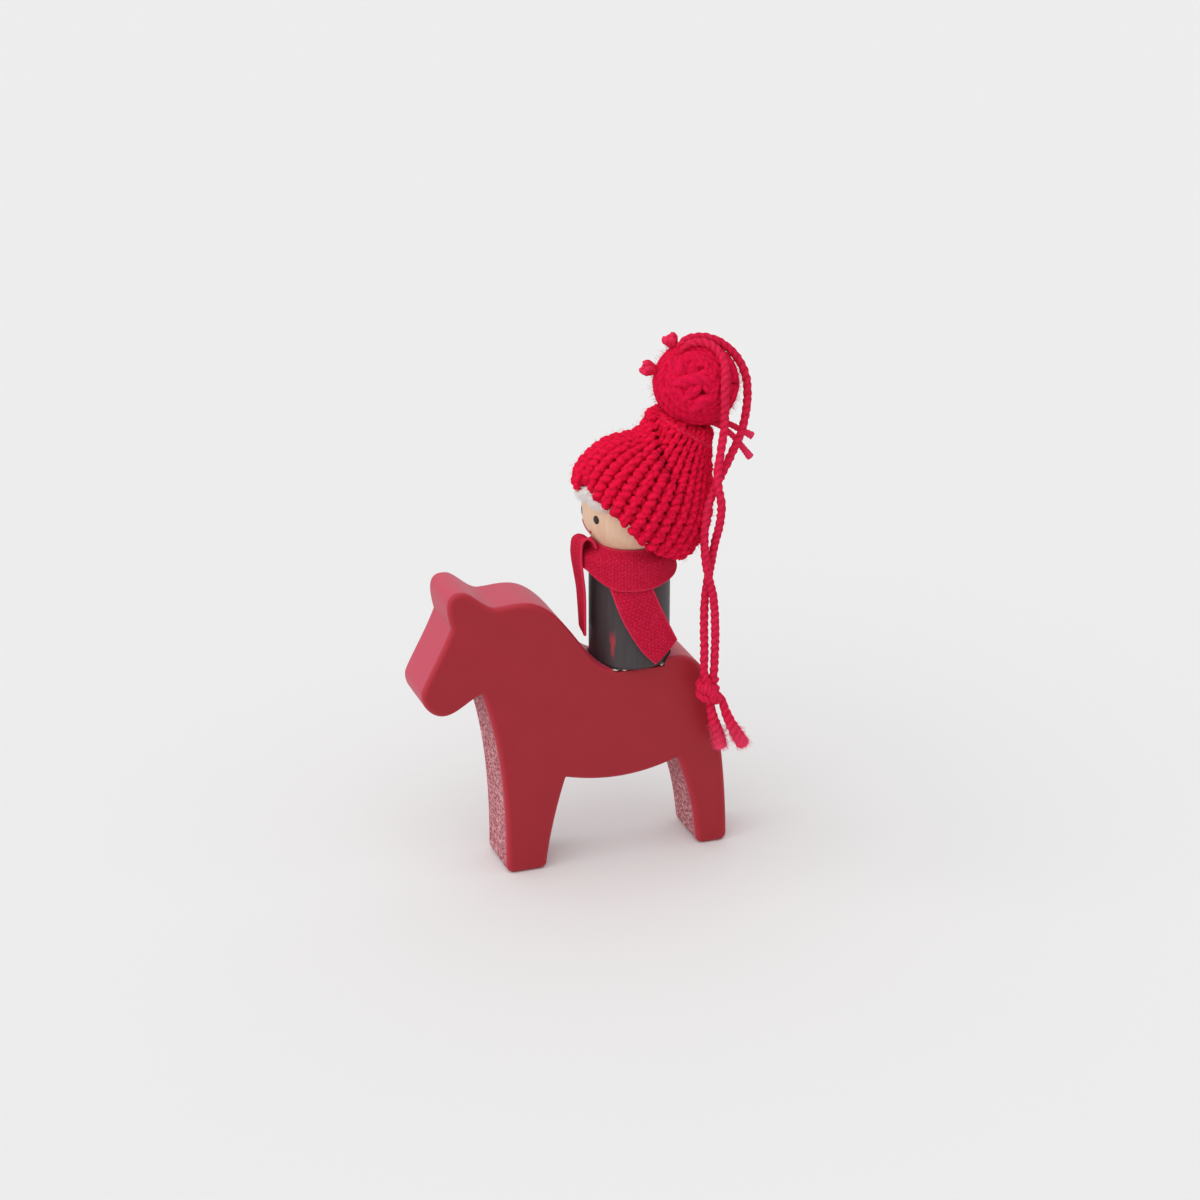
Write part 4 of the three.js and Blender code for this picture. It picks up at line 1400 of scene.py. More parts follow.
    def skin(self, angle: np.ndarray, share: np.ndarray, out: np.ndarray | float) -> np.ndarray:
        """Points at a distance from the skin along its normal.

        Args:
            angle: angle round the cap.
            share: share of its height.
            out: distance off the skin.

        Returns:
            Points in millimetres, in the cap's frame.
        """
        e = 1e-3
        du = self.surface(angle + e, share) - self.surface(angle - e, share)
        dv = self.surface(angle, share + e) - self.surface(angle, share - e)
        normal = np.cross(du, dv)
        normal /= np.linalg.norm(normal, axis=-1, keepdims=True)
        return self.surface(angle, share) + normal * np.asarray(out)[..., None]

    def even_share(self, along: np.ndarray) -> np.ndarray:
        """Share of the cap's height at an even share of the way up its side.

        Args:
            along: share of the length from the brim to the gather.

        Returns:
            Share of the height at each place.
        """
        t = np.linspace(-0.2, 1.2, 400)
        run = lengths_along(self.surface(np.full_like(t, math.pi / 2), t))
        low, high = np.interp([0, 1], t, run)
        return np.interp(low + along * (high - low), run, t)

    def build_knit(self, finish: Yarn) -> None:
        """Knit the cap in courses: each is one yarn whose loops hang in the course below.

        Args:
            finish: yarn of the cap.
        """
        turn = np.linspace(0, FULL_TURN * self.wales, self.wales * self.steps, endpoint=False)
        angle = (turn + self.loop_width * np.sin(2 * turn)) / self.wales
        course = 1 / self.courses
        lines, thick = [], []
        for row in range(self.courses):
            # The first course has no course below, so its loops end early
            edge = np.where(np.cos(turn) > 0, 0.4, 1.0) if row == 0 else 1.0
            along = (row + 0.55) * course - self.loop_height * course * edge * np.cos(turn)
            out = -self.inset - self.loop_depth * np.cos(2 * turn)
            line = self.skin(angle, self.even_share(along), out)
            reach = np.hypot(line[:, 0] - self.slack, line[:, 1]) / self.brim_radius
            lines.append(self.to_world(line))
            thick.append(np.clip(0.35 + 0.68 * reach, 0.5, 1.05))
        material = finish.material()
        knit = self.weaver.yarn(
            "cap_knit", lines, self.yarn_radius, material, thick, closed=True, sides=8, plies=2,
            depth=0.06, lay=3.0, fuzz=0.34, fuzz_size=0.7)
        fuzz = self.weaver.fibres("cap_fuzz", knit, material, 0.45, 1.5, 0.04)
        dress(fuzz, Body.FIGURE, Slot.KNIT)
        dress(knit, Body.FIGURE, Slot.KNIT, "knit_cap")

    def build_lining(self, finish: Yarn) -> None:
        """Close the cap with the back of the knit, a thin shell just under the loops.

        Args:
            finish: darker copy of the knit's yarn, as painted shade on the back of the knit.
        """
        rows, columns = 28, 136
        angle = np.linspace(0, FULL_TURN, columns, endpoint=False)[None, :] + np.zeros((rows, 1))
        share = self.even_share(np.linspace(0.03, 1.0, rows))[:, None] + np.zeros((1, columns))
        ribs = 0.25 * np.cos(2 * self.wales * angle)
        outer, inner = self.lining_depths
        layers = [self.to_world(self.skin(angle, share, outer + ribs)),
                  self.to_world(self.skin(angle, share, inner - ribs))[::-1]]
        last = (2 * rows - 1) * columns
        j = np.arange(columns)
        k = (j + 1) % columns
        rim = np.stack([last + j, last + k, k, j], -1)
        points = np.vstack([layer.reshape(-1, 3) for layer in layers])
        faces = np.vstack([grid_faces(2 * rows, columns, True), rim])
        # The shell's darker yarn is painted shade: the back of the knit lies in the shade of the
        # loops
        shell = face_outwards(new_piece("cap_lining", points, faces, finish.material()))
        dress(shell, Body.FIGURE, Slot.KNIT)

    def build_tie(self, finish: Yarn) -> None:
        """Wind the tie strand two and a half times round the gathered top.

        Args:
            finish: yarn of the tie.
        """
        turn = np.linspace(0, 5 * math.pi, 150)
        share = self.tie_share + 0.012 * np.sin(0.8 * turn)
        line = self.skin(turn, share, -0.25 + 0.3 * np.sin(0.4 * turn))
        line[:, 2] += np.linspace(-0.6, 0.6, len(turn))
        # Inside the tie the last loops are drawn shut in a coil
        coil = np.linspace(0, 8 * math.pi, 160)
        radius = np.interp(coil, (0, 8 * math.pi), (self.neck_radius - 0.4, 0.6))
        height = (self.height - 0.2 + 0.25 * np.sin(3 * coil)
                  + self.gather_lift * self.back_share(coil) * radius / 5)
        shut = np.column_stack([0.66 + radius * np.cos(coil), radius * np.sin(coil), height])
        thick = [np.ones(len(line)), np.full(len(shut), 1.3)]
        tie = self.weaver.yarn(
            "cap_tie_strand", [self.to_world(line), self.to_world(shut)], self.tie_radius,
            finish.material(), thick)
        dress(tie, Body.FIGURE, Slot.YARN, "cap_tie")

    def build_fringe(self, finish: Plain) -> None:
        """Lay carded fleece on the forehead under the brim, with loose hairs over it.

        Args:
            finish: the fleece.
        """
        material = finish.material()
        columns, rows = 90, 14
        turn = np.radians(np.linspace(*self.fringe_span, columns))[None, :]
        down = np.linspace(0, 1, rows)[:, None]
        lump = 0.14 * np.sin(9 * turn) + 0.16 * np.sin(23 * turn + 1)
        edge = np.interp(np.degrees(turn), *zip(*self.fringe_edge))
        top = self.brim_height + self.brim(math.pi + turn) + 1.2
        height = top + (np.minimum(edge + lump, top - 0.6) - top) * down
        sheets = []
        for layer in (self.fringe_swell, 0.0):
            swell = layer * np.sin(math.pi * (0.14 + 0.86 * (1 - down) ** 0.8)) ** 0.6
            uneven = 1 + 0.08 * np.sin(31 * turn) * np.sin(7 * down + 3 * turn)
            out = np.sqrt((self.head_radius + 0.12 + swell * uneven) ** 2 - height ** 2)
            grid = np.stack([out * np.cos(math.pi + turn), out * np.sin(math.pi + turn),
                             height + 0 * out], -1)
            sheets.append(self.to_world(grid).reshape(-1, 3))
        fringe = face_outwards(new_piece(
            "hair_fleece", np.vstack(sheets), shell_faces(rows, columns), material))
        hairs = self.weaver.fibres(
            "hair_strands", fringe, material, 26.0, 1.2, 0.045, 0.6, 0.5, (-0.2, -0.1, -0.7))
        dress(fringe, Body.FIGURE, Slot.FLEECE, "hair_fringe")
        dress(hairs, Body.FIGURE, Slot.FLEECE)


@dataclass
class Pompom:
    """Ball of wound yarn over the gathered cap, with its cut ends and the tie's two ends."""

    weaver: Weaver
    centre: Point = (26.165, 0.0, 110.36)
    radius: float = 9.5
    axis: Point = (-0.32, -0.88, 0.34)
    turns: int = 15
    reach: float = 60.0
    yarn_radius: float = 0.88
    fat_radius: float = 1.35
    end_radius: float = 0.66
    core_depth: float = 1.5
    loop_count: int = 26
    loop_reach: float = 6.2
    loop_half: float = 2.6
    # Main loops on the open face, right and up from its middle
    main_loops: tuple[tuple[Pair, ...], ...] = (
        ((-6.1, -1.9), (-3.6, -0.2), (-0.4, 0.5), (2.4, 0.1), (4.2, -1.2)),
        ((-4.1, 5.4), (-3.5, 3.2), (-3.2, 0.7)),
        ((-1.4, -8.0), (-0.5, -6.0), (1.4, -4.2), (4.4, -3.2)))
    # Name, direction, length and half the width of each tuft
    tufts: tuple[tuple[str, Point, float, float], ...] = (
        ("tuft_front", (-11.7, 2.5, 4.3), 3.4, 1.35), ("tuft_top", (-5.2, 2.9, 9.9), 3.1, 1.3),
        ("tuft_back", (7.3, 4.0, 8.0), 2.6, 0.9))
    # Name of each end of the tie and its way from the ball's middle
    tie_ends: tuple[tuple[str, tuple[Point, ...]], ...] = (
        ("tie_end_upper", ((2.6, 1.2, -9.0), (4.6, 1.4, -9.3), (8.6, 1.3, -11), (12, 0.8, -13),
                           (14, 0.5, -14.2))),
        ("tie_end_lower", ((2.4, -1, -9.1), (4.3, -1.3, -9.6), (8.2, -1, -12.6),
                           (11.2, -0.5, -16.2), (13.3, 0, -18.9))))

    def basis(self) -> np.ndarray:
        """Find the directions of the ball's open face.

        Returns:
            Right, up and outward, one to a row.
        """
        out = np.array(self.axis) / np.linalg.norm(self.axis)
        right = np.cross([0, 0, 1.0], out)
        right /= np.linalg.norm(right)
        return np.stack([right, np.cross(out, right), out])

    def build_core(self, finish: Yarn) -> None:
        """Fill the ball with a lumpy dark core, so that no light passes between the strands.

        Args:
            finish: yarn in the shade.
        """
        xyz, faces = ball_mesh(5)
        x, y, z = xyz[:, :1], xyz[:, 1:2], xyz[:, 2:]
        lumps = 1 + 0.03 * np.sin(9 * x) * np.sin(8 * y) * np.sin(10 * z)
        points = xyz * lumps * (self.radius - self.core_depth) + self.centre
        dress(new_piece("pompom_core", points, faces, finish.material()), Body.FIGURE, Slot.YARN)

    def build_winding(self, finish: Yarn) -> None:
        """Wind rings of yarn side by side round the ball, each a little out of line.

        Args:
            finish: yarn of the ball.
        """
        rng = np.random.default_rng(SEED)
        basis = self.basis()
        turn = np.linspace(0, FULL_TURN, 96, endpoint=False)
        lines = []
        for layer, count in ((0.0, self.turns), (-0.75, self.turns - 3)):
            for k in range(count):
                lean = math.radians((2 * k / (count - 1) - 1) * self.reach)
                r = self.radius - self.yarn_radius + 0.2 + layer + rng.uniform(-0.15, 0.15)
                wander = rng.uniform(-0.1, 0.1, 2)
                tip = (lean + wander[0] * np.cos(turn + 6 * wander[1])
                       + 0.05 * np.sin(2 * turn + 9 * wander[0]))
                ring = np.stack([np.cos(tip) * np.cos(turn), np.cos(tip) * np.sin(turn),
                                 np.sin(tip)], -1)
                lines.append(ring * r @ basis + self.centre)
        material = finish.material()
        wound = self.weaver.yarn(
            "pompom_winding", lines, self.yarn_radius, material, closed=True, sides=7, plies=2,
            depth=0.05, lay=3.2, fuzz=0.3)
        fuzz = self.weaver.fibres("pompom_fuzz", wound, material, 1.0, 1.8, 0.04)
        dress(fuzz, Body.FIGURE, Slot.YARN)
        dress(wound, Body.FIGURE, Slot.YARN, "pompom")

    def build_loops(self, finish: Yarn) -> None:
        """Fill both open faces of the winding with fat loops that dive back into the ball.

        Args:
            finish: yarn of the loops.
        """
        routes = list(self.main_loops)
        main = len(routes)
        rng = np.random.default_rng(SEED + 4)
        for k in range(self.loop_count):
            way = rng.uniform(0, FULL_TURN)
            bend = rng.uniform(-0.9, 0.9)
            reach = self.loop_reach * math.sqrt((k + 0.5) / self.loop_count)
            x, y = reach * math.cos(2.4 * k), reach * math.sin(2.4 * k)
            routes.append([(x + s * self.loop_half * math.cos(way + bend * s),
                            y + s * self.loop_half * math.sin(way + bend * s))
                           for s in (-1.3, -0.5, 0.5, 1.3)])
        basis = self.basis()
        lines, thick = [], []
        for side in (1.0, -1.0):
            for number, route in enumerate(routes):
                flat = smooth_line([(x * side, y, 0) for x, y in route], 0.45)
                arch = np.sin(math.pi * np.linspace(0, 1, len(flat)))
                crown = 0.1 if number < main else -0.35 - 0.12 * (number % 5)
                r = self.radius - 2.7 + 2.4 * arch ** 0.45 + crown
                out = np.sqrt(np.clip(r ** 2 - flat[:, 0] ** 2 - flat[:, 1] ** 2, 1, None))
                line = np.column_stack([flat[:, 0], flat[:, 1], side * out])
                lines.append(line @ basis + self.centre)
                thick.append((0.7 + 0.3 * arch) * (1.0 if number < main else 0.78))
        loops = self.weaver.yarn(
            "pompom_loops", lines, self.fat_radius, finish.material(), thick, sides=12, plies=3,
            depth=0.05, lay=9.0, fuzz=0.4, fuzz_size=0.9)
        dress(loops, Body.FIGURE, Slot.YARN)

    def build_ends(self, finish: Yarn) -> None:
        """Add the cut ends: two flared tufts, a short end, and the tie's two ends.

        Args:
            finish: yarn of the ends.
        """
        material = finish.material()
        # Share of the length and of the spread of each point along a tuft's strand
        flared = ((0, 0.25), (0.4, 0.4), (0.75, 0.75), (1.0, 0.8), (1.12, 0.55))
        root = self.radius - 1.2
        for number, (name, way, rise, radius) in enumerate(self.tufts, 1):
            out = np.array(way) / np.linalg.norm(way)
            across = np.cross(out, (0.3, 0.9, 0.3))
            across /= np.linalg.norm(across)
            over = np.cross(out, across)
            leans = [math.cos(k * math.pi / 3) * across + math.sin(k * math.pi / 3) * over
                     for k in range(6)]
            lines, flare, pale = [], [], []
            for k, lean in enumerate([*leans, np.zeros(3)]):
                reach = rise * (1.18 - 0.12 * (k % 3))
                points = [out * (root + reach * s) + lean * radius * w for s, w in flared]
                line = smooth_line(points, 0.25) + self.centre
                share = np.linspace(0, 1, len(line))
                lines.append(line)
                flare.append(0.75 + 0.45 * share - 0.5 * np.clip(share - 0.85, 0, 1) / 0.15)
                pale.append(0.3 * share ** 6)
            tuft = self.weaver.yarn(
                name, lines, radius * 0.55, material, flare, pale, sides=8, plies=2, depth=0.1,
                fuzz=0.3, fuzz_size=0.5)
            dress(tuft, Body.FIGURE, Slot.YARN, f"yarn_end_{number}")
        for number, (name, points) in enumerate(self.tie_ends, len(self.tufts) + 1):
            line = smooth_line(points, 0.3) + self.centre
            late = np.linspace(0, 1, len(line)) ** 4
            end = self.weaver.yarn(
                name, [line], self.end_radius, material, [1 + 0.35 * late], [0.6 * late], lay=2.6)
            dress(end, Body.FIGURE, Slot.YARN, f"yarn_end_{number}")


@dataclass
class HangingLoop:
    """Two twisted strands from the pompom's top to a knot, with two fluffy tails."""

    weaver: Weaver
    origin: Point = (26.165, 0.0, 110.36)
    diameter: float = 1.9
    tail_diameter: float = 2.9
    knot_centre: Point = (-1.0, -12.4, -69.2)
    knot_yarn_radius: float = 1.05
    root: Point = (-4.2, 0.0, 8.2)
    bend: Point = (-2.0, 0.0, 6.55)
    # How far under the origin the tails start to swell, to turn pale and to grow hairs
    swell_drop: float = 72.5
    pale_drop: float = 75.0
    fluff_drop: float = 77.5
    tail_run: float = 9.0
    # Arcs out to the back, then through the knot to its tail
    strand_a: tuple[Point, ...] = (
        (-4.2, 0.7, 8.2), (-2.4, 0.8, 9.8), (1.4, 0.6, 10.3), (5.3, 0, 9), (8.7, -0.9, 6.1),
        (10.5, -1.8, 2.9), (11.15, -2.6, 0), (11, -3.6, -3.2), (10.2, -4.8, -6.2),
        (9, -6.2, -9.2), (7.2, -7.6, -12), (5, -8.9, -14.9), (2.8, -10, -18),
        (0.3, -11.5, -21.2), (-2, -13.3, -25), (-2.9, -14.1, -29.2), (-2.8, -14, -34.6),
        (-1.8, -13.9, -40.8), (-0.3, -13.2, -46.2), (0.5, -12.6, -53.4), (0.6, -12.3, -60.4),
        (0.4, -12.3, -65.4), (-0.1, -11.9, -69.2), (-0.2, -12.2, -73.2), (0.7, -12, -76.9),
        (1.8, -11.8, -80.4), (2.7, -11.6, -83.9))
    # Runs down the near side, then through the knot to its tail
    strand_b: tuple[Point, ...] = (
        (-4.2, -1.5, 8), (-2.4, -1.8, 9.7), (0.9, -2.8, 10), (3.2, -5, 8.5), (3.8, -7.8, 5.8),
        (3, -10, 2.9), (2.8, -10.6, -0.6), (3, -10.2, -4.2), (3, -9.9, -7.7), (2.5, -10.2, -11),
        (1.6, -11.2, -14.1), (0.6, -12.4, -17.1), (0.2, -14.1, -20.1), (0.7, -14.8, -23.7),
        (0.6, -14.3, -28), (0, -12.7, -33.9), (-0.7, -11.3, -41.5), (-1.4, -11, -46.8),
        (-1.8, -11.6, -53.3), (-1.8, -12.1, -59.7), (-1.8, -12.4, -65.4), (-0.4, -13.4, -69),
        (2, -12.9, -71.4), (3.4, -13.2, -75.4), (5.2, -13.5, -79.4), (7.5, -13.6, -83.3))

    def below(self, line: np.ndarray, drop: float) -> np.ndarray:
        """Share of the tail's run that each point of a line is under a drop, from 0 to 1."""
        return np.clip((self.origin[2] - drop - line[:, 2]) / self.tail_run, 0, 1)

    def build(self, strand: Yarn, tail: Yarn) -> None:
        """Args:
            strand: yarn of the strands.
            tail: paler, brushed yarn of the cut ends.
        """
        material = strand.material()
        knot = self.build_knot(material)
        brushed = tail.material()
        # The root stays in the ball, and the bend's second point lies just past the hinge
        start, end = (np.array(self.origin) + place for place in (self.root, self.bend))
        bend = tuple(start * MM), tuple(end * MM)
        for side, points, extra in (("a", self.strand_a, [knot]), ("b", self.strand_b, [])):
            line = smooth_line(points, 0.3) + self.origin
            swell = self.tail_diameter / self.diameter - 1
            thick = 1 + swell * self.below(line, self.swell_drop)
            thick *= np.clip(np.linspace(0.6, 0.6 + len(line) * 0.03, len(line)), 0, 1)
            pale = 0.8 * self.below(line, self.pale_drop) ** 2.5
            cord = self.weaver.yarn(
                f"hang_strand_{side}", [line], self.diameter / 2, material, [thick], [pale],
                sides=12, plies=2, depth=0.09, lay=3.4, fuzz=0.34)
            hairs = self.weaver.fibres(
                f"hang_fluff_{side}", self.lower_end(cord), brushed, 9.0, 1.3, 0.05, 0.8, 0.5,
                (0.25, -0.1, -0.8))
            dress(cord, Body.HANG_LOOP, Slot.YARN, f"hang_cord_{side}", f"knot_tail_{side}",
                  bend=bend)
            dress(hairs, Body.HANG_LOOP, Slot.YARN)

    def lower_end(self, cord: Piece) -> Piece:
        """Copy the last few millimetres of a strand, for its brushed hairs to grow from.

        Args:
            cord: the finished strand.

        Returns:
            The copy, in no collection.
        """
        copy = bpy.data.objects.new(cord.name + "_end", cord.data.copy())
        shell = bmesh.new()
        shell.from_mesh(copy.data)
        height = (self.origin[2] - self.fluff_drop) * MM
        bmesh.ops.delete(shell, geom=[v for v in shell.verts if v.co.z > height],
                         context="VERTS")
        shell.to_mesh(copy.data)
        shell.free()
        return copy

    def build_knot(self, material: Material) -> Piece:
        """Tie the overhand knot: two thick turns round the strands and one lap across them.

        Args:
            material: finish of the strands.

        Returns:
            The knot.
        """
        turn = np.linspace(0, 4.6 * math.pi, 90)
        fall = np.linspace(2.3, -2.2, len(turn)) + 0.35 * np.sin(turn)
        wrap = np.column_stack([1.75 * np.cos(turn), 1.55 * np.sin(turn), fall])
        lap = smooth_line([(-1.6, -1.4, 2.2), (-0.4, -2.2, 0.9), (1.0, -2.1, -0.9),
                           (1.9, -0.9, -2.3)], 0.3)
        base = np.array(self.origin) + np.array(self.knot_centre)
        knot = self.weaver.yarn(
            "hang_knot_yarn", [wrap + base, lap + base], self.knot_yarn_radius, material,
            sides=12, plies=3, depth=0.09, lay=3.0, fuzz=0.3)
        dress(knot, Body.HANG_LOOP, Slot.YARN, "hang_knot")
        return knot


@dataclass
class Scarf:
    """Woven tape wrapped round the neck, with a front tail and a side tail."""

    weaver: Weaver
    x: float = 10.7
    seat_z: float = 46.4
    peg_radius: float = 9.2
    peg_top: float = 26.6
    gap: float = 0.3
    thickness: float = 0.8
    width: float = 7.0
    wrap_top: float = 2.7
    wrap_height: float = 5.2
    wrap_dip: float = 5.6
    dip_angle: float = 1.41 * math.pi
    dip_width: float = 0.62
    fold_bulge: float = 1.6
    fold_rise: float = 0.3
    head_radius: float = 10.8
    head_rise: float = 9.95
    fold_width: float = 0.5
    lean: float = 0.9
    front_length: float = 15.6
    front_turn: float = 15.0
    front_shift: float = -2.4
    front_twist: float = 15.0
    front_bend: float = 5.0
    side_length: float = 18.0
    side_bend: Pair = (1.0, -3.0)
    side_hug: float = 7.2
    pitch: Pair = (0.7, 0.42)
    relief: float = 0.22
    step: float = 0.13
    # Angle round the peg in degrees and height over the seat of the wrap's lower edge
    edge_knots: tuple[Pair, ...] = (
        (-20, 22.5), (0, 23.0), (60, 23.9), (120, 24.1), (170, 24.15), (195, 24.0),
        (208, 22.6), (224, 21.1), (236, 20.5), (256, 20.5), (279, 20.7), (292, 21.2),
        (310, 21.7), (340, 22.5), (360, 23.0), (420, 23.9))
    # Both edges of the side tail, across and up from the middle of the seat
    side_edges: tuple[tuple[Point, ...], ...] = (
        ((-7.2, 0, 21.4), (-6.84, 0, 19.63), (-5.68, 0, 14.97), (-3.85, 0, 10.87),
         (-0.35, 0, 5.15), (2.66, 0, 2.01)),
        ((1.2, 0, 22.0), (2.05, 0, 20.1), (4.79, 0, 13.66), (8.08, 0, 6.89)))

    def hump(self, angle: np.ndarray | float, middle: float, width: float) -> np.ndarray:
        """Smooth hump of height 1 at one angle round the peg."""
        return bell(2 * np.sin((np.asarray(angle) - middle) / 2), 0, width)

    def wrap_radius(self, angle: np.ndarray | float) -> np.ndarray:
        """Find the outer face of the wrap.

        Args:
            angle: angle round the peg; 0 is its back and pi its front.

        Returns:
            Distance from the peg's axis.
        """
        near = (0.5 - 0.5 * np.sin(angle)) ** 2
        front = self.hump(angle, math.pi, self.fold_width)
        return (self.peg_radius + self.gap + self.thickness * (1 + self.lean * near)
                + self.fold_bulge * front)

    def wrap_bottom(self, angle: float) -> float:
        """Height over the seat where a tail that comes out at an angle leaves the wrap."""
        dip = self.hump(angle, self.dip_angle, self.dip_width)
        return float(self.peg_top + self.wrap_top - self.wrap_height - self.wrap_dip * dip)

    def lower_edge(self, angle: np.ndarray) -> np.ndarray:
        """Height over the seat of the draped wrap's lower edge, lowest over the side tail."""
        line = smooth_line([(turn, height, 0) for turn, height in self.edge_knots], 1.0)
        return np.interp(np.degrees(angle), line[:, 0], line[:, 1])

    def points_in(self, length: float) -> int:
        """Number of points across a length, four to each step of the weave and one more."""
        return 4 * round(length / (4 * self.step)) + 1

    def lay(self, name: str, grid: Sequence[np.ndarray], along: np.ndarray, across: np.ndarray,
            material: Material, ring: bool = False) -> Piece:
        """Weave one stretch of the tape.

        Args:
            name: name of the stretch.
            grid: x, y and z of its middle layer, from the middle of the seat.
            along: length along the tape at each point.
            across: length across the tape at each point.
            material: finish of the tape.
            ring: whether it joins its own start.

        Returns:
            The finished stretch.
        """
        middle = np.stack(grid, -1) + np.array([self.x, 0.0, self.seat_z])
        return self.weaver.tape(name, middle, along, across, self.thickness * 0.6, material,
                                self.pitch, self.relief, ring)

    def build_wrap(self, material: Material) -> Piece:
        """Wrap the tape round the neck, snug under the head.

        Args:
            material: finish of the tape.

        Returns:
            The wrap.
        """
        reach = self.peg_radius + 1
        angle = np.linspace(0, FULL_TURN, self.points_in(FULL_TURN * reach))[:, None]
        across = np.linspace(0, 1, self.points_in(self.wrap_height * 1.5))[None, :]
        fold = self.hump(angle, math.pi, self.fold_width)
        top = self.peg_top + self.wrap_top + self.fold_rise * fold
        height = top + (self.lower_edge(angle) - top) * across
        full = self.wrap_radius(angle) - self.thickness / 2
        ball = math.sqrt(self.head_radius ** 2 - (self.head_rise - self.wrap_top) ** 2)
        hug = ball + self.thickness / 2
        over = np.clip((height - self.peg_top) / self.wrap_top, 0, 1)
        radius = full + (hug - full) * ease(over) + 0.25 * bell(across, 1, 0.12)
        grid = radius * np.cos(angle), radius * np.sin(angle), height
        return self.lay("scarf_neck", grid, angle * reach + 0 * across, top - height, material,
                        True)

    def build_front(self, material: Material) -> Piece:
        """Fold the tape out under the chin and let it hang straight down.

        Args:
            material: finish of the tape.

        Returns:
            The front tail.
        """
        out = float(self.wrap_radius(math.pi)) - self.thickness / 2 - 0.3
        edge = self.wrap_bottom(math.pi) - self.gap
        foot = edge - self.front_length
        # Out from the peg's axis and up from the wrap's edge: over the fold and down
        route = ((-3.0, 5.2), (-2.3, 6.9), (-1.1, 7.7), (0.1, 7.0), (0.5, 4.8), (0.5, 2.0),
                 (0.2, -1), (-0.2, -5), (-0.3, -10), (-0.3, foot - edge))
        drop = smooth_line([(out + x, 0, edge + z) for x, z in route], self.step)
        half = self.width / 2
        side = np.linspace(-half, half, self.points_in(self.width))[None, :]
        turn = math.radians(self.front_turn)
        reach, fall = drop[:, :1], drop[:, 2:]
        down = np.clip((edge + 4 - fall) / (edge + 4 - foot), 0, 1)
        twist = turn - math.radians(self.front_twist) * (1 - 0.6 * down)
        off = side + half
        x = -reach * math.cos(turn) - half * math.sin(turn) + off * np.sin(twist)
        y = (reach * math.sin(turn) - half * math.cos(turn) + self.front_shift
             + off * np.cos(twist))
        z = fall + 0.12 * np.sin(side * 1.1 + 0.4 * fall) - 0.2 * off * (1 - down)
        along = np.arange(len(drop))[:, None] * self.step + 0 * side
        return self.lay("scarf_front", (x, y, z), along, off + 0 * along, material)

    def build_side(self, material: Material) -> Piece:
        """Bring the tape out under the dip and slant it down over the near side of the peg.

        Args:
            material: finish of the tape.

        Returns:
            The side tail.
        """
        along = np.linspace(0, 1, self.points_in(self.side_length * 1.1))[:, None]
        side = np.linspace(0, 1, self.points_in(self.width))[None, :]
        edges = []
        for points in self.side_edges:
            line = smooth_line(points, 0.1)
            share = np.linspace(0, 1, len(line))
            edges.append([np.interp(along, share, line[:, k]) for k in (0, 2)])
        x, z = (left * (1 - side) + right * side for left, right in zip(*edges))
        ripple = 0.15 * np.sin(5 * along + 5 * side) * along
        inside = self.peg_radius + self.gap + self.thickness / 2
        # Its top follows the peg under the wrap, and the rest hangs nearly flat
        free = ease(np.clip(along / 0.35, 0, 1))
        hug = np.sqrt(inside ** 2 - np.clip(x, -self.side_hug, self.side_hug) ** 2)
        y = (1 - free) * -hug - free * (inside - 0.02 * x ** 2) - 0.5 * along - ripple
        return self.lay("scarf_side", (x, y, z), along * self.side_length + 0 * side,
                        side * self.width + 0 * along, material)

    def build(self, finish: Tape) -> None:
        """Args:
            finish: the tape.
        """
        material = finish.material()
        wrap = self.build_wrap(material)
        front = self.build_front(material)
        side = self.build_side(material)
        dress(wrap, Body.FIGURE, Slot.TAPE, "scarf_wrap")
        edge, top = (self.seat_z + self.wrap_bottom(angle) - self.gap
                     for angle in (math.pi, self.dip_angle))
        for piece, body, solid, start, end in (
                (front, Body.FRONT_TAIL, "scarf_front_tail", edge, edge - self.front_bend),
                (side, Body.SIDE_TAIL, "scarf_side_tail", *(top + k for k in self.side_bend))):
            dress(piece, body, Slot.TAPE, solid, bend=((0, 0, start * MM), (0, 0, end * MM)))


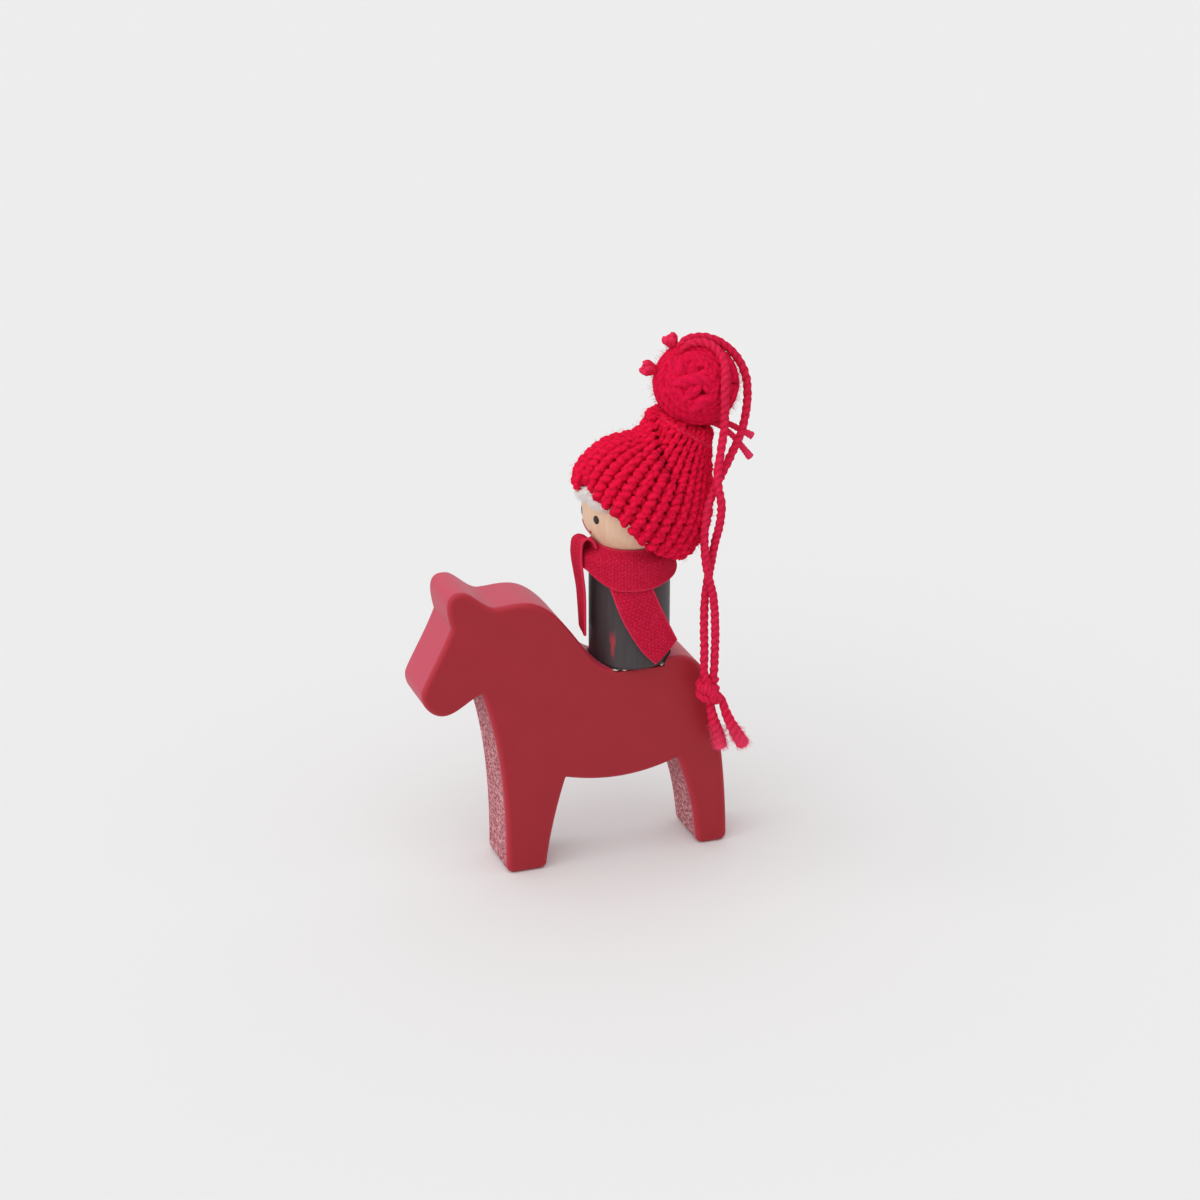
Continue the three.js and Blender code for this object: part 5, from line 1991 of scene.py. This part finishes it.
@dataclass
class Studio:
    """Pale floor, soft light and the camera of the photograph's view."""

    target: Point = (3.7, 0.0, 61.42)
    eye: Point = (-210.25, -607.55, 323.10)
    lens: float = 92.58
    sensor: float = 36.0
    floor: str = "#E8E8E8"
    floor_half: float = 12000.0
    sky: float = 0.44
    backdrop: float = 0.84
    # Name, direction, width in degrees and strength of each lamp
    lamps: tuple[tuple[str, Point, float, float], ...] = (
        ("key", (-0.6, -0.32, 0.73), 90, 1.5), ("dome", (0.1, 0.25, 0.96), 140, 0.85))

    def build(self) -> None:
        """Set the colour transform, the camera, the lights and the floor."""
        bpy.context.scene.view_settings.view_transform = "Standard"
        self.build_camera()
        self.build_lights()
        self.build_floor()

    def build_camera(self) -> None:
        """Place the camera where the photograph was taken from."""
        scene = bpy.context.scene
        camera = bpy.data.cameras.new("camera")
        camera.lens = self.lens
        camera.sensor_width = self.sensor
        camera.clip_start, camera.clip_end = 0.01, 50
        stand = bpy.data.objects.new("camera", camera)
        stand.location = Vector(self.eye) * MM
        way = (Vector(self.target) - Vector(self.eye)).normalized()
        stand.rotation_euler = way.to_track_quat("-Z", "Y").to_euler()
        scene.collection.objects.link(stand)
        scene.camera = stand

    def build_lights(self) -> None:
        """Light the figure from a plain sky and two lamps."""
        scene = bpy.context.scene
        world = bpy.data.worlds.new("studio")
        world.use_nodes = True
        tree = world.node_tree
        tree.nodes.clear()
        # Rays that show the surroundings see a backdrop as pale as the floor
        rays = add(tree, "ShaderNodeLightPath").outputs
        shows = add(tree, "ShaderNodeMath", {
            0: rays["Is Camera Ray"], 1: rays["Is Glossy Ray"]}, operation="MAXIMUM")
        seen = add(tree, "ShaderNodeMath", {
            0: shows, 1: rays["Is Transmission Ray"]}, operation="MAXIMUM")
        level = add(tree, "ShaderNodeMapRange", {0: seen, 3: self.sky, 4: self.backdrop})
        light = add(tree, "ShaderNodeBackground", {"Color": (1, 1, 1, 1), "Strength": level})
        add(tree, "ShaderNodeOutputWorld", {0: light})
        scene.world = world
        # Both lamps are wide discs far away: the floor is lit evenly and shadows stay soft
        for name, toward, angle, power in self.lamps:
            lamp = bpy.data.lights.new(name, "SUN")
            lamp.angle = math.radians(angle)
            lamp.energy = power
            post = bpy.data.objects.new(name, lamp)
            post.location = Vector(toward)
            post.rotation_euler = Vector(toward).to_track_quat("Z", "Y").to_euler()
            scene.collection.objects.link(post)

    def build_floor(self) -> None:
        """Lay a sheet of paper far past the view."""
        # Matt paper gives the eye an even pale ground that holds a soft shadow
        name = "matt white paper sweep"
        tree, place = open_material(name)
        tooth = add(tree, "ShaderNodeTexNoise", {"Vector": place, "Scale": per_mm(1.2)})
        bump = add(tree, "ShaderNodeBump", {
            "Strength": 0.05, "Distance": 0.05 * MM, "Height": tooth})
        paper = close_material(name, tree, {
            "Base Color": linear(self.floor), "Normal": bump, "Roughness": 0.9,
            "Specular IOR Level": 0.1})
        ticks = np.linspace(-self.floor_half, self.floor_half, 3)
        grid = np.array([(x, y, 0) for y in ticks for x in ticks])
        new_piece("floor", grid, grid_faces(3, 3), paper)


def main() -> None:
    """Build the studio and every piece of the figure in order."""
    logging.basicConfig(level=logging.INFO, format="%(message)s")
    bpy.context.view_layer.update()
    Studio().build()
    weaver = Weaver()
    HangingLoop(weaver).build(LOOP_YARN, FLUFF)
    Horse().build(Lacquer())
    rider = Rider(weaver)
    rider.build_glue(GLUE)
    rider.build_peg(PEG_STAIN)
    rider.build_head(BARE_BIRCH)
    rider.build_face(EYE_PAINT, LIP_PAINT)
    cap = Cap(weaver, rider.head_centre, rider.head_radius)
    cap.build_lining(KNIT_BACK)
    cap.build_knit(KNIT_YARN)
    cap.build_tie(TIE_YARN)
    cap.build_fringe(FLEECE)
    pompom = Pompom(weaver)
    pompom.build_core(CORE_YARN)
    pompom.build_winding(BALL_YARN)
    pompom.build_loops(FAT_YARN)
    pompom.build_ends(CUT_YARN)
    Scarf(weaver).build(Tape())
    bpy.context.view_layer.update()


if __name__ == "__main__":
    main()
